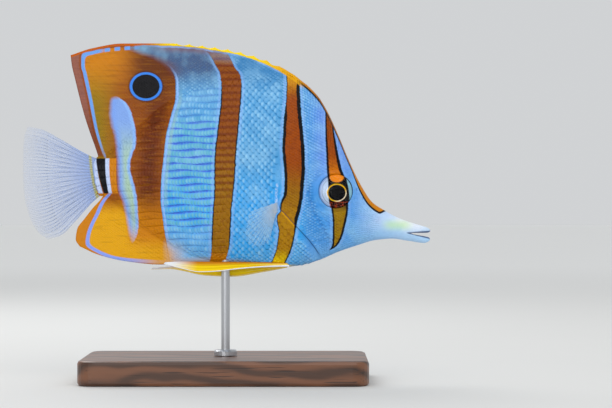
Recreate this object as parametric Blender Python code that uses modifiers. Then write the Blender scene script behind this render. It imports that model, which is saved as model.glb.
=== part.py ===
"""A copperband butterflyfish, life size, held by a plain display stand.

Run with: blender --background --python part.py

The fish faces +X and swims level, with +Z up. Its outlines are given in millimetres in its own
frame: x from the middle of its length towards the snout, z up from the axis of its tail stalk.
The origin is the middle of the stand's underside. The body, the dorsal fin and the anal fin are
one lofted shape, which thin cuts part into the pieces that a person would name.
"""

import math

import bmesh
import bpy
import numpy as np
from mathutils import Matrix, Vector

MM = 0.001

# The fish's own axis above the floor, and the gap that parts one piece from the next.
AXIS_HEIGHT = 75.0
CUT_GAP = 0.3

# The stand: a flat wooden slab with one steel rod, which goes up into the belly.
BASE_LENGTH, BASE_WIDTH, BASE_THICKNESS = 104.0, 58.0, 9.0
BASE_CORNER, BASE_EDGE = 6.0, 1.2
ROD_RADIUS, ROD_CLEARANCE = 1.6, 0.3
ROD_DEPTH_IN_BASE, ROD_DEPTH_IN_FISH = 6.0, 8.0
COLLAR_RADIUS, COLLAR_HEIGHT = 4.2, 2.0

# Side outlines of body and fins together, from the mouth to the rear corners of the fins.
BACK = [(67.0, -16.8), (62.5, -15.0), (58.4, -12.7), (53.8, -9.6), (49.6, -3.3), (45.4, 5.3),
        (41.2, 15.3), (36.7, 24.8), (33.4, 29.8), (27.1, 35.5), (20.7, 39.7), (10.2, 44.1),
        (-2.4, 47.0), (-19.3, 48.6), (-37.8, 48.6), (-49.0, 46.9), (-57.0, 44.4)]
BELLY = [(67.0, -23.8), (61.0, -23.0), (55.2, -23.5), (48.2, -25.5), (41.2, -27.9), (34.2, -30.9),
         (27.2, -32.8), (20.2, -33.5), (5.3, -32.4), (-9.4, -31.6), (-24.0, -32.5), (-36.5, -31.3),
         (-46.5, -29.0), (-53.6, -25.9)]

# The flesh alone, behind the head: its back under the dorsal fin, its belly over the anal fin.
FLESH_BACK = [(27.1, 35.5), (20.0, 37.2), (12.7, 37.7), (5.3, 37.5), (-2.0, 36.2), (-9.4, 33.8),
              (-16.7, 30.2), (-24.0, 25.3), (-31.4, 19.1), (-38.7, 12.2), (-43.1, 8.4), (-47.5, 6.4)]
FLESH_BELLY = [(5.3, -32.4), (-2.0, -31.6), (-9.4, -30.2), (-16.7, -27.3), (-24.0, -23.5),
               (-31.4, -18.3), (-38.7, -11.6), (-43.1, -8.0), (-47.5, -6.2)]
DORSAL_START, ANAL_START = 27.1, -2.0

# Rear edges of the two fins, up from the anal fin's corner, with the tail stalk between them.
ANAL_REAR = [(-53.6, -25.9), (-55.1, -23.4), (-54.6, -19.6), (-51.7, -15.5), (-48.7, -11.7),
             (-45.4, -8.0), (-44.6, -6.5)]
DORSAL_REAR = [(-46.6, 6.6), (-47.6, 9.8), (-49.2, 14.2), (-51.2, 20.0), (-53.2, 27.0),
               (-55.2, 35.0), (-56.6, 41.0), (-57.0, 44.4)]

# Half of the body's width along its length, and how its sections close above and below:
# 0.5 is an ellipse, and a larger power is a sharper edge.
HALF_WIDTH = [(67.0, 1.9), (62.0, 2.2), (57.0, 2.9), (52.0, 3.9), (47.0, 5.0), (41.0, 6.1),
              (35.0, 7.1), (29.0, 7.9), (22.0, 8.5), (14.0, 8.7), (5.0, 8.4), (-5.0, 7.5),
              (-15.0, 6.1), (-25.0, 4.7), (-35.0, 3.3), (-42.0, 2.5), (-48.0, 2.1)]
UPPER_POWER = [(60.0, 0.50), (45.0, 0.58), (30.0, 0.64), (10.0, 0.72), (-12.0, 0.76), (-44.0, 0.50)]
LOWER_POWER = [(60.0, 0.50), (40.0, 0.55), (20.0, 0.58), (0.0, 0.62), (-22.0, 0.70), (-44.0, 0.50)]
SECTION_POWER = 2.2

# Fins are thickest where they leave the flesh.
FIN_HALF_EDGE, FIN_HALF_ROOT, FIN_ROOT_REACH, FIN_EDGE_ROUND = 0.32, 0.85, 5.0, 0.5

# The tail bends a little to the fish's left, as it does when it swims.
BEND_START, BEND_LENGTH, BEND_REACH = -18.0, 57.0, 3.5

# The loft: stations from the mouth to where the fin rays begin to spread, then on to the rear edge.
SPREAD_X = -9.4
FRONT_STATIONS, REAR_STATIONS, RING_STEPS = 31, 15, 17
STALK_BOTTOM_STEP, STALK_TOP_STEP = 6, 9

# The jaws, parted: heights of each jaw's upper and lower side, and half width, along the snout.
MOUTH_X = 67.0
UPPER_JAW = [(67.0, -16.8, -20.75, 1.9), (70.0, -17.7, -20.9, 1.6), (73.0, -18.6, -20.9, 1.25),
             (74.6, -19.3, -20.7, 0.8), (75.1, -19.8, -20.3, 0.25)]
LOWER_JAW = [(67.0, -21.2, -23.8, 1.9), (70.0, -21.6, -24.3, 1.55), (72.8, -22.1, -24.6, 1.2),
             (74.5, -22.5, -24.0, 0.8), (75.0, -22.9, -23.5, 0.25)]
JAW_RING = 16

# The eyes: flattened balls whose middle lies inside the head.
EYE_X, EYE_Z = 40.2, -5.7
EYE_RADIUS, EYE_DEPTH, EYE_OFFSET, EYE_TURN = 6.5, 3.0, 4.85, 8.0
EYE_SEGMENTS, EYE_RINGS = 20, 10

# Lines of the thin cuts, each drawn a little past the body's outline.
SNOUT_CUT = [(58.0, -4.0), (57.0, -12.0), (53.6, -22.0), (51.0, -34.0)]
GILL_CUT = [(27.7, 35.0), (24.4, 24.2), (21.6, 11.4), (20.2, 0.4), (19.6, -9.9), (21.8, -13.8),
            (26.2, -18.7), (31.7, -24.9), (36.1, -32.0)]
CHEEK_CUT = [(30.4, 10.5), (30.6, 1.5), (32.0, -9.0), (35.6, -17.5), (39.0, -24.5)]
STALK_CUT_X, ANAL_CUT_X = -37.2, -5.0
SPINES_CUT = [(-7.6, 34.6), (-15.6, 53.0)]
GILL_COVER_DEPTH = 4.2

# The tail fin: its root on the stalk, its outer edges and its rear margin.
TAIL_ROOT = [(-44.7, -6.4), (-46.9, 6.5)]
TAIL_TOP = [(-46.9, 6.5), (-50.8, 7.9), (-60.7, 13.5), (-68.2, 17.3), (-73.0, 18.2)]
TAIL_BOTTOM = [(-44.7, -6.4), (-48.6, -9.4), (-55.2, -16.6), (-60.6, -21.8), (-65.5, -23.4)]
TAIL_MARGIN = [(-65.5, -23.4), (-69.6, -20.2), (-72.8, -13.5), (-74.6, -4.5), (-74.9, 5.0),
               (-74.5, 13.5), (-73.0, 18.2)]
TAIL_STATIONS, TAIL_STEPS = 10, 14
TAIL_HALF_ROOT, TAIL_HALF_EDGE, TAIL_ROOT_REACH = 1.9, 0.32, 6.0

# Paired fins. The pelvic fins lie folded along the belly, the left one lower: each has an outer
# edge, which is its spine, and an inner edge under the belly.
PELVIC_OUTER = {
    "right": [(23.4, -32.9), (14.9, -33.1), (5.3, -33.8), (-3.7, -34.8), (-9.0, -35.0),
              (-16.5, -33.6), (-22.4, -32.0)],
    "left": [(22.5, -33.4), (13.0, -35.2), (2.3, -36.8), (-8.1, -36.4), (-15.3, -34.9),
             (-20.5, -34.1), (-27.6, -34.3)],
}
PELVIC_INNER = {
    "right": [(22.4, -31.9), (13.4, -31.6), (-3.5, -31.4), (-16.5, -31.3), (-21.8, -31.6)],
    "left": [(21.5, -32.2), (13.0, -31.9), (-3.5, -31.7), (-14.5, -32.4), (-20.2, -33.3),
             (-27.0, -33.8)],
}
PELVIC_SPACING, PELVIC_SPLAY, PELVIC_HALF_THICKNESS = 2.9, 1.4, 0.3
PECTORAL_ROOT = (18.6, -11.6)
PECTORAL_LENGTH, PECTORAL_SPREAD, PECTORAL_ROOT_HEIGHT = 19.0, 58.0, 3.4
PECTORAL_FALL, PECTORAL_FLARE, PECTORAL_CUP = 42.0, 48.0, 2.2
PECTORAL_STANDOFF, PECTORAL_HALF_THICKNESS = 0.45, 0.3

# Colours: warm bars on a pale blue body, yellow fin edges, dark wood and steel for the stand.
PALE_BLUE = (0.42, 0.60, 0.80)
ORANGE = (0.62, 0.26, 0.04)
YELLOW = (0.80, 0.52, 0.03)
CLEAR_FIN = (0.60, 0.68, 0.80)
EYE_BLACK = (0.02, 0.02, 0.03)
WALNUT = (0.16, 0.08, 0.04)
STEEL = (0.55, 0.56, 0.58)


def clear_scene():
    """Removes what the startup file holds."""
    for old in list(bpy.data.objects):
        bpy.data.objects.remove(old)


def finish(name, colour, roughness=0.45, metallic=0.0):
    """A material with one colour, for one piece."""
    made = bpy.data.materials.new(name)
    made.use_nodes = True
    shader = made.node_tree.nodes["Principled BSDF"]
    shader.inputs["Base Color"].default_value = (*colour, 1.0)
    shader.inputs["Roughness"].default_value = roughness
    shader.inputs["Metallic"].default_value = metallic
    return made


def smooth(points):
    """A function that follows the points without overshooting them (a monotone cubic)."""
    table = np.array(sorted(points), float)
    x, y = table[:, 0], table[:, 1]
    step = np.diff(x)
    slope = np.diff(y) / step
    tangent = np.empty(len(x))
    tangent[0], tangent[-1] = slope[0], slope[-1]
    before, after = slope[:-1], slope[1:]
    turning = before * after <= 0
    harmonic = 3 * (step[:-1] + step[1:]) / (
        (2 * step[1:] + step[:-1]) / np.where(turning, 1, before)
        + (step[1:] + 2 * step[:-1]) / np.where(turning, 1, after))
    tangent[1:-1] = np.where(turning, 0, harmonic)

    def value(at):
        at = np.clip(np.asarray(at, float), x[0], x[-1])
        i = np.clip(np.searchsorted(x, at) - 1, 0, len(step) - 1)
        t = (at - x[i]) / step[i]
        return (y[i] * (1 + 2 * t) * (1 - t) ** 2 + step[i] * tangent[i] * t * (1 - t) ** 2
                + y[i + 1] * t * t * (3 - 2 * t) + step[i] * tangent[i + 1] * t * t * (t - 1))

    return value


def along(points):
    """A smooth function of 0 to 1 that runs through points in the plane, by their spacing."""
    table = np.array(points, float)
    gone = np.concatenate([[0], np.cumsum(np.linalg.norm(np.diff(table, axis=0), axis=1))])
    gone /= gone[-1]
    each = [smooth(list(zip(gone, table[:, k]))) for k in range(table.shape[1])]
    return lambda t: np.stack([f(t) for f in each], axis=-1)


back, belly = smooth(BACK), smooth(BELLY)
flesh_back, flesh_belly = smooth(FLESH_BACK), smooth(FLESH_BELLY)
half_width = smooth(HALF_WIDTH)
upper_power, lower_power = smooth(UPPER_POWER), smooth(LOWER_POWER)
anal_rear = smooth([(z, x) for x, z in ANAL_REAR])
dorsal_rear = smooth([(z, x) for x, z in DORSAL_REAR])


def flesh_top(x):
    return np.where(x > DORSAL_START, back(x), np.minimum(flesh_back(x), back(x)))


def flesh_bottom(x):
    return np.where(x > FLESH_BELLY[0][0], belly(x), np.maximum(flesh_belly(x), belly(x)))


def bend(x):
    """How far the tail swings to the fish's left at x."""
    return BEND_REACH * (np.clip(BEND_START - np.asarray(x, float), 0, None) / BEND_LENGTH) ** 2


def body_half_thickness(x, z):
    """Half of the thickness of flesh and fin at a place in the side view."""
    top, bottom = flesh_top(x), flesh_bottom(x)
    middle = (top + bottom) / 2
    upper = z > middle
    share = np.abs(z - middle) / np.maximum((top - bottom) / 2, 1e-6)
    power = np.where(upper, upper_power(x), lower_power(x))
    flesh = half_width(x) * (1 - np.clip(share, 0, 1) ** SECTION_POWER) ** power
    beyond = np.where(upper, z - top, bottom - z)
    to_edge = np.where(upper, back(x) - z, z - belly(x))
    has_fin = np.where(upper, x < DORSAL_START, x < ANAL_START)
    fin = FIN_HALF_EDGE + (FIN_HALF_ROOT - FIN_HALF_EDGE) * np.exp(
        -np.clip(beyond, 0, None) / FIN_ROOT_REACH)
    fin = fin * np.sqrt(np.clip(to_edge / FIN_EDGE_ROUND, 0, 1)) * has_fin
    return (flesh ** 3 + fin ** 3) ** (1 / 3)


def ring_shares(steps):
    """Heights round a section, closer together where it turns."""
    return (1 - np.cos(np.pi * np.arange(steps + 1) / steps)) / 2


def rear_edge(share):
    """The rear end of the loft: anal fin, tail stalk and dorsal fin, from the bottom up."""
    anal_top, dorsal_bottom = ANAL_REAR[-1], DORSAL_REAR[0]
    stalk_from, stalk_to = ring_shares(RING_STEPS)[[STALK_BOTTOM_STEP, STALK_TOP_STEP]]
    z = np.interp(share, [0, stalk_from, stalk_to, 1],
                  [ANAL_REAR[0][1], anal_top[1], dorsal_bottom[1], DORSAL_REAR[-1][1]])
    stalk = np.interp(z, [anal_top[1], dorsal_bottom[1]], [anal_top[0], dorsal_bottom[0]])
    x = np.where(z <= anal_top[1], anal_rear(z), np.where(z >= dorsal_bottom[1], dorsal_rear(z), stalk))
    return np.stack([x, z], axis=-1)


def patch(bottom, top, front, rear, a, b):
    """A Coons patch: a runs from the front curve to the rear one, b from the bottom up."""
    a, b = np.asarray(a, float)[..., None], np.asarray(b, float)[..., None]
    one, nought = np.ones_like(a[..., 0]), np.zeros_like(a[..., 0])
    corners = ((1 - a) * (1 - b) * front(nought) + (1 - a) * b * front(one)
               + a * (1 - b) * rear(nought) + a * b * rear(one))
    return ((1 - a) * front(b[..., 0]) + a * rear(b[..., 0])
            + (1 - b) * bottom(a[..., 0]) + b * top(a[..., 0]) - corners)


def edge_run(outline, end_x):
    """Part of a back or belly outline, from where the rays spread to the rear corner."""
    def run(t):
        x = SPREAD_X + (end_x - SPREAD_X) * t
        return np.stack([x, outline(x)], axis=-1)
    return run


def spread_line(share):
    z = belly(SPREAD_X) + (back(SPREAD_X) - belly(SPREAD_X)) * share
    return np.stack([np.full_like(z, SPREAD_X), z], axis=-1)


def body_grid():
    """Side-view places of the whole loft: stations by heights."""
    shares = ring_shares(RING_STEPS)
    rows = []
    for step in range(FRONT_STATIONS):
        x = MOUTH_X + (SPREAD_X - MOUTH_X) * step / FRONT_STATIONS
        z = belly(x) + (back(x) - belly(x)) * shares
        rows.append(np.stack([np.full_like(z, x), z], axis=-1))
    for step in range(REAR_STATIONS + 1):
        a = np.full(RING_STEPS + 1, step / REAR_STATIONS)
        rows.append(patch(edge_run(belly, BELLY[-1][0]), edge_run(back, BACK[-1][0]),
                          spread_line, rear_edge, a, shares))
    return np.array(rows)


def world(x, y, z):
    """A place of the fish's own frame, in metres above the floor."""
    return np.stack([np.asarray(x) * MM, (np.asarray(y) + bend(x)) * MM,
                     (np.asarray(z) + AXIS_HEIGHT) * MM], axis=-1)


def new_object(name, mesh, collection, material=None):
    made = bpy.data.objects.new(name, mesh)
    collection.objects.link(made)
    if material:
        mesh.materials.append(material)
    return made


def loft(name, rings):
    """A closed mesh through rings of equally many points, with a flat face at each end."""
    count = len(rings[0])
    points = [tuple(p) for ring in rings for p in ring]
    faces = [tuple(range(count)), tuple(reversed(range(len(points) - count, len(points))))]
    for r in range(len(rings) - 1):
        for k in range(count):
            near, next_k = r * count, (k + 1) % count
            faces.append((near + k, near + count + k, near + count + next_k, near + next_k))
    mesh = bpy.data.meshes.new(name)
    mesh.from_pydata(points, [], faces)
    shape = bmesh.new()
    shape.from_mesh(mesh)
    bmesh.ops.remove_doubles(shape, verts=shape.verts, dist=1e-6)
    bmesh.ops.triangulate(shape, faces=[f for f in shape.faces if len(f.verts) > 4])
    bmesh.ops.recalc_face_normals(shape, faces=shape.faces)
    shape.to_mesh(mesh)
    shape.free()
    return mesh


def two_sided_rings(grid, half):
    """Rings that go up the fish's right side and down its left."""
    rings = []
    for row, thick in zip(grid, half):
        right = world(row[:, 0], -thick, row[:, 1])
        left = world(row[1:-1, 0], thick[1:-1], row[1:-1, 1])[::-1]
        rings.append(np.concatenate([right, left]))
    return rings


def body_mesh():
    grid = body_grid()
    half = body_half_thickness(grid[..., 0], grid[..., 1])
    half[:, 0] = half[:, -1] = 0
    return loft("body", two_sided_rings(grid, half))


def shrunk(points, distance):
    """A polygon with each side moved inwards, or outwards where distance is negative."""
    ring = np.array(points, float)
    x, z = ring[:, 0], ring[:, 1]
    if np.sum(x * np.roll(z, -1) - np.roll(x, -1) * z) < 0:
        ring = ring[::-1]
    side = np.roll(ring, -1, axis=0) - ring
    inward = np.stack([-side[:, 1], side[:, 0]], axis=1) / np.linalg.norm(side, axis=1)[:, None]
    moved = []
    for k in range(len(ring)):
        before, here = inward[k - 1], inward[k]
        corner = before + here
        moved.append(ring[k] + corner * distance / max(corner @ here, 0.2))
    return moved


def flat_solid(name, outline, collection, low=-30.0, high=30.0):
    """A side-view outline made solid across the fish, from low to high along Y."""
    curve = bpy.data.curves.new(name, "CURVE")
    curve.dimensions = "2D"
    curve.fill_mode = "BOTH"
    curve.extrude = (high - low) / 2 * MM
    line = curve.splines.new("POLY")
    line.points.add(len(outline) - 1)
    for point, (x, z) in zip(line.points, outline):
        point.co = (x * MM, (z + AXIS_HEIGHT) * MM, 0, 1)
    line.use_cyclic_u = True
    drawn = bpy.data.objects.new(name, curve)
    collection.objects.link(drawn)
    drawn.matrix_world = Matrix.Translation((0, (low + high) / 2 * MM, 0)) @ Matrix.Rotation(
        math.pi / 2, 4, "X")
    bpy.context.view_layer.update()
    graph = bpy.context.evaluated_depsgraph_get()
    mesh = bpy.data.meshes.new_from_object(drawn.evaluated_get(graph))
    mesh.transform(drawn.matrix_world)
    bpy.data.objects.remove(drawn)
    shape = bmesh.new()
    shape.from_mesh(mesh)
    bmesh.ops.remove_doubles(shape, verts=shape.verts, dist=1e-6)
    bmesh.ops.recalc_face_normals(shape, faces=shape.faces)
    shape.to_mesh(mesh)
    shape.free()
    return helper(bpy.data.objects.new(name, mesh), collection)


def helper(tool, collection):
    """Keeps a cutter out of the model."""
    if tool.name not in collection.objects:
        collection.objects.link(tool)
    tool.hide_render = True
    tool.display_type = "WIRE"
    return tool


def carve(piece, tool, operation):
    cut = piece.modifiers.new(tool.name, "BOOLEAN")
    cut.operation = operation
    cut.object = tool
    cut.solver = "EXACT"


def body_piece(name, body, region, material, parts, tools, removed=()):
    """The part of the body inside a region of the side view, less what fits into it."""
    piece = new_object(name, body.copy(), parts, material)
    carve(piece, flat_solid("keep_" + name, shrunk(region, CUT_GAP / 2), tools), "INTERSECT")
    for tool in removed:
        carve(piece, tool, "DIFFERENCE")
    return piece


def steps_between(outline, first_x, last_x, count):
    """Places along a back or belly line, from first_x to last_x."""
    x = np.linspace(first_x, last_x, count)
    return [(float(a), float(b)) for a, b in zip(x, outline(x))]


def regions():
    """The named pieces of the loft, as closed outlines in the side view."""
    nape = GILL_CUT[0]
    over = steps_between(flesh_top, DORSAL_START - 4, STALK_CUT_X, 9)
    under = steps_between(flesh_bottom, STALK_CUT_X, ANAL_CUT_X, 6)
    stalk_top = steps_between(flesh_top, STALK_CUT_X, -46.9, 4)
    stalk_bottom = steps_between(flesh_bottom, -44.4, STALK_CUT_X, 3)
    spines_root = [p for p in over if p[0] > SPINES_CUT[0][0]]
    soft_root = [p for p in over if p[0] < SPINES_CUT[0][0]]
    high, low = 60.0, -45.0
    return {
        "snout": [(MOUTH_X + 5, -4.0)] + SNOUT_CUT + [(MOUTH_X + 5, -34.0)],
        "head": SNOUT_CUT[::-1] + [(50.0, high), (nape[0] + 2, high), (nape[0] + 1.2, nape[1] + 2)]
        + GILL_CUT + [(36.5, low)],
        "trunk": [nape] + over + under + [(ANAL_CUT_X, low), (36.5, low)] + GILL_CUT[:0:-1],
        "tail_stalk": stalk_top + [(-50.0, 6.4), (-50.0, -6.3)] + stalk_bottom,
        "dorsal_fin_spiny": [(nape[0] + 1.2, nape[1] + 2), nape] + spines_root + SPINES_CUT
        + [(nape[0] + 2, high)],
        "dorsal_fin_soft": [SPINES_CUT[0]] + soft_root + stalk_top[1:] + [(-49.5, 6.6), (-66.0, high),
                                                                        SPINES_CUT[1]],
        "anal_fin": [(ANAL_CUT_X, low)] + under[::-1] + stalk_bottom[-2::-1] + [(-46.5, -6.2), (-66.0, low)],
    }


def eye_ball(name, side, grow, collection):
    """One flattened ball; its cutter is the same ball, a little larger."""
    shape = bmesh.new()
    bmesh.ops.create_uvsphere(shape, u_segments=EYE_SEGMENTS, v_segments=EYE_RINGS, radius=1.0)
    size = Matrix.Diagonal((EYE_RADIUS + grow, EYE_RADIUS + grow, EYE_DEPTH + grow, 1))
    face_out = Matrix.Rotation(math.pi / 2, 4, "X")
    turn = Matrix.Rotation(math.radians(-side * EYE_TURN), 4, "Z")
    place = Matrix.Translation((EYE_X, side * EYE_OFFSET, EYE_Z + AXIS_HEIGHT))
    shape.transform(Matrix.Diagonal((MM, MM, MM, 1)) @ place @ turn @ face_out @ size)
    mesh = bpy.data.meshes.new(name)
    shape.to_mesh(mesh)
    shape.free()
    mesh.shade_smooth()
    return new_object(name, mesh, collection)


def rod_socket(tools, bottom, top, name):
    """A hole for the rod, a little wider than it."""
    shape = bmesh.new()
    radius = (ROD_RADIUS + ROD_CLEARANCE) * MM
    bmesh.ops.create_cone(shape, cap_ends=True, segments=24, radius1=radius, radius2=radius,
                          depth=(top - bottom) * MM)
    bmesh.ops.translate(shape, verts=shape.verts, vec=(0, 0, (top + bottom) / 2 * MM))
    mesh = bpy.data.meshes.new(name)
    shape.to_mesh(mesh)
    shape.free()
    return helper(bpy.data.objects.new(name, mesh), tools)


def rod_top():
    return AXIS_HEIGHT + float(belly(0.0)) + ROD_DEPTH_IN_FISH


def make_body(parts, tools, pale, orange, yellow):
    """Cuts the loft into snout, head, gill covers, trunk, tail stalk and the two long fins."""
    body = body_mesh()
    plans = regions()
    eyes = [helper(eye_ball("eye_socket_" + word, side, CUT_GAP, tools), tools)
            for word, side in (("left", 1), ("right", -1))]
    cover = GILL_CUT[2:-1] + CHEEK_CUT[::-1]
    pocket = shrunk(GILL_CUT[2:3] + [(10.0, 11.4), (10.0, -28.0)] + GILL_CUT[-2:-1] + CHEEK_CUT[::-1],
                    -CUT_GAP / 2)
    pockets = [flat_solid("gill_pocket_" + word, pocket, tools, *sorted((side * (GILL_COVER_DEPTH
               - CUT_GAP / 2), side * 30))) for word, side in (("left", 1), ("right", -1))]
    socket = rod_socket(tools, AXIS_HEIGHT - 45, rod_top() + CUT_GAP, "rod_socket_fish")
    body_piece("snout", body, plans["snout"], pale, parts, tools)
    body_piece("head", body, plans["head"], pale, parts, tools, eyes + pockets)
    body_piece("trunk", body, plans["trunk"], pale, parts, tools, [socket])
    body_piece("tail_stalk", body, plans["tail_stalk"], pale, parts, tools)
    body_piece("dorsal_fin_spiny", body, plans["dorsal_fin_spiny"], yellow, parts, tools)
    body_piece("dorsal_fin_soft", body, plans["dorsal_fin_soft"], orange, parts, tools)
    body_piece("anal_fin", body, plans["anal_fin"], yellow, parts, tools)
    for word, side in (("left", 1), ("right", -1)):
        piece = new_object("gill_cover_" + word, body.copy(), parts, pale)
        reach = sorted((side * (GILL_COVER_DEPTH + CUT_GAP / 2), side * 30))
        keep = flat_solid("keep_gill_cover_" + word, shrunk(cover, CUT_GAP / 2), tools, *reach)
        carve(piece, keep, "INTERSECT")


def make_jaw(name, sections, parts, material):
    """One jaw: oval sections that close at the tip."""
    angles = np.linspace(0, 2 * np.pi, JAW_RING, endpoint=False)
    rings = []
    for x, top, bottom, half in sections:
        start = x - CUT_GAP / 2 if x != MOUTH_X else x + CUT_GAP
        z = (top + bottom) / 2 + (top - bottom) / 2 * np.sin(angles)
        rings.append(world(np.full_like(z, start), half * np.cos(angles), z))
    mesh = loft(name, rings)
    mesh.shade_smooth()
    return new_object(name, mesh, parts, material)


def make_tail_fin(parts, material):
    """The tail fin: as thick as the stalk at its root, and thin at its margin."""
    a_values = np.linspace(0, 1, TAIL_STATIONS + 1) ** 1.4
    shares = ring_shares(TAIL_STEPS)
    grid = np.array([patch(along(TAIL_BOTTOM), along(TAIL_TOP), along(TAIL_ROOT), along(TAIL_MARGIN),
                           np.full(len(shares), a), shares) for a in a_values])
    grid[..., 0] -= CUT_GAP
    from_root = np.linalg.norm(grid - grid[0], axis=-1)
    fade = np.exp(-(from_root / TAIL_ROOT_REACH) ** 2)
    stalk = TAIL_HALF_ROOT * np.sqrt(np.clip(1 - (2 * shares - 1) ** 2, 0, 1))
    half = (stalk * fade) + TAIL_HALF_EDGE * (1 - fade) * np.sqrt(np.clip(4 * shares * (1 - shares) * 4, 0, 1))
    half[:, 0] = half[:, -1] = 0
    half[-1] *= 0.5
    return new_object("caudal_fin", loft("caudal_fin", two_sided_rings(grid, half)), parts, material)


def sheet(name, grid, half_thickness, parts, material):
    """A fin as a thin sheet: an open grid of faces, made thick by Solidify."""
    rows, columns = grid.shape[:2]
    points = [tuple(p) for row in grid for p in row]
    faces = [(r * columns + c, r * columns + c + 1, (r + 1) * columns + c + 1, (r + 1) * columns + c)
             for r in range(rows - 1) for c in range(columns - 1)]
    mesh = bpy.data.meshes.new(name)
    mesh.from_pydata(points, [], faces)
    mesh.shade_smooth()
    fin = new_object(name, mesh, parts, material)
    thick = fin.modifiers.new("thickness", "SOLIDIFY")
    thick.thickness = 2 * half_thickness * MM
    thick.offset = 0
    return fin


def make_pelvic_fin(word, side, parts, material):
    """A folded pelvic fin along the belly, which leans out from the root to the tip."""
    outer, inner = along(PELVIC_OUTER[word]), along(PELVIC_INNER[word])
    rows = []
    for t in np.linspace(0, 1, 17):
        across = np.linspace(0, 1, 4)[:, None]
        line = outer(t)[None] * (1 - across) + inner(t)[None] * across
        out = PELVIC_SPACING + PELVIC_SPLAY * t - 0.3 * across[:, 0]
        rows.append(world(line[:, 0], side * out, line[:, 1]))
    return sheet("pelvic_fin_" + word, np.array(rows), PELVIC_HALF_THICKNESS, parts, material)


def make_pectoral_fin(word, side, parts, material):
    """A pectoral fin: a cupped fan that leaves the body behind the gill cover."""
    root_x, root_z = PECTORAL_ROOT
    root_y = float(body_half_thickness(np.array(root_x), np.array(root_z))) + PECTORAL_STANDOFF
    rows = []
    for reach in np.linspace(0, 1, 9):
        fan = np.linspace(-0.5, 0.5, 9)
        angle = np.radians(PECTORAL_FALL + fan * PECTORAL_SPREAD)
        length = reach * PECTORAL_LENGTH * (1 - 1.1 * fan ** 2)
        back_by = length * np.cos(angle)
        down_by = length * np.sin(angle) + fan * PECTORAL_ROOT_HEIGHT
        flare = math.radians(PECTORAL_FLARE)
        out = back_by * math.sin(flare) + PECTORAL_CUP * reach * (1 - 4 * fan ** 2)
        rows.append(world(root_x - back_by * math.cos(flare), side * (root_y + out), root_z - down_by))
    return sheet("pectoral_fin_" + word, np.array(rows), PECTORAL_HALF_THICKNESS, parts, material)


def make_base(parts, tools, material):
    """The slab: a block with rounded corners and a softened top edge, drilled for the rod."""
    bpy.ops.mesh.primitive_cube_add(size=1.0, location=(0, 0, BASE_THICKNESS / 2 * MM))
    slab = bpy.context.object
    slab.name = slab.data.name = "stand_base"
    slab.data.transform(Matrix.Diagonal((BASE_LENGTH * MM, BASE_WIDTH * MM, BASE_THICKNESS * MM, 1)))
    for home in list(slab.users_collection):
        home.objects.unlink(slab)
    parts.objects.link(slab)
    slab.data.materials.append(material)
    weights = slab.data.attributes.new("bevel_weight_edge", "FLOAT", "EDGE")
    for edge in slab.data.edges:
        a, b = (slab.data.vertices[i].co for i in edge.vertices)
        weights.data[edge.index].value = 1.0 if abs(a.z - b.z) > 1e-6 else 0.0
    corners = slab.modifiers.new("corners", "BEVEL")
    corners.limit_method = "WEIGHT"
    corners.width, corners.segments = BASE_CORNER * MM, 6
    edges = slab.modifiers.new("edges", "BEVEL")
    edges.limit_method = "ANGLE"
    edges.angle_limit = math.radians(60)
    edges.width, edges.segments = BASE_EDGE * MM, 2
    carve(slab, rod_socket(tools, BASE_THICKNESS - ROD_DEPTH_IN_BASE, BASE_THICKNESS + 2,
                           "rod_socket_base"), "DIFFERENCE")
    return slab


def make_rod(parts, material):
    """The rod and its collar, turned in one piece; the profile runs down its outer side."""
    bottom = BASE_THICKNESS - ROD_DEPTH_IN_BASE + CUT_GAP
    collar = BASE_THICKNESS + CUT_GAP
    profile = [(0, rod_top()), (ROD_RADIUS - 0.3, rod_top()), (ROD_RADIUS, rod_top() - 0.3),
               (ROD_RADIUS, collar + COLLAR_HEIGHT), (COLLAR_RADIUS - 0.5, collar + COLLAR_HEIGHT),
               (COLLAR_RADIUS, collar + COLLAR_HEIGHT - 0.5), (COLLAR_RADIUS, collar),
               (ROD_RADIUS, collar), (ROD_RADIUS, bottom), (0, bottom)]
    mesh = bpy.data.meshes.new("stand_rod")
    mesh.from_pydata([(r * MM, 0, z * MM) for r, z in profile],
                     [(k, k + 1) for k in range(len(profile) - 1)], [])
    rod = new_object("stand_rod", mesh, parts, material)
    turned = rod.modifiers.new("turned", "SCREW")
    turned.angle = 2 * math.pi
    turned.steps = turned.render_steps = 24
    turned.use_merge_vertices = True
    turned.merge_threshold = 0.00001
    turned.use_smooth_shade = False
    return rod


def main():
    clear_scene()
    scene = bpy.context.scene.collection
    parts = bpy.data.collections.new("copperband_butterflyfish")
    tools = bpy.data.collections.new("cutters")
    scene.children.link(parts)
    scene.children.link(tools)
    pale = finish("pale_blue_skin", PALE_BLUE)
    orange = finish("orange_skin", ORANGE)
    yellow = finish("yellow_fin", YELLOW)
    clear = finish("clear_fin", CLEAR_FIN, 0.3)
    make_body(parts, tools, pale, orange, yellow)
    make_jaw("upper_jaw", UPPER_JAW, parts, pale)
    make_jaw("lower_jaw", LOWER_JAW, parts, pale)
    make_tail_fin(parts, clear)
    black = finish("eye", EYE_BLACK, 0.1)
    for word, side in (("left", 1), ("right", -1)):
        eye_ball("eye_" + word, side, 0.0, parts).data.materials.append(black)
        make_pelvic_fin(word, side, parts, yellow)
        make_pectoral_fin(word, side, parts, clear)
    make_base(parts, tools, finish("walnut", WALNUT, 0.4))
    make_rod(parts, finish("steel", STEEL, 0.25, 1.0))


main()
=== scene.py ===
"""Dresses the solid model of a copperband butterflyfish in skin, scales, fins and eyes.

Places on the fish are in millimetres in its own frame: x from the middle of its length towards the
snout, z up from the axis of its tail stalk, and y towards its left side. The piece makers turn
them into metres on the stand.
"""

import math

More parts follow.
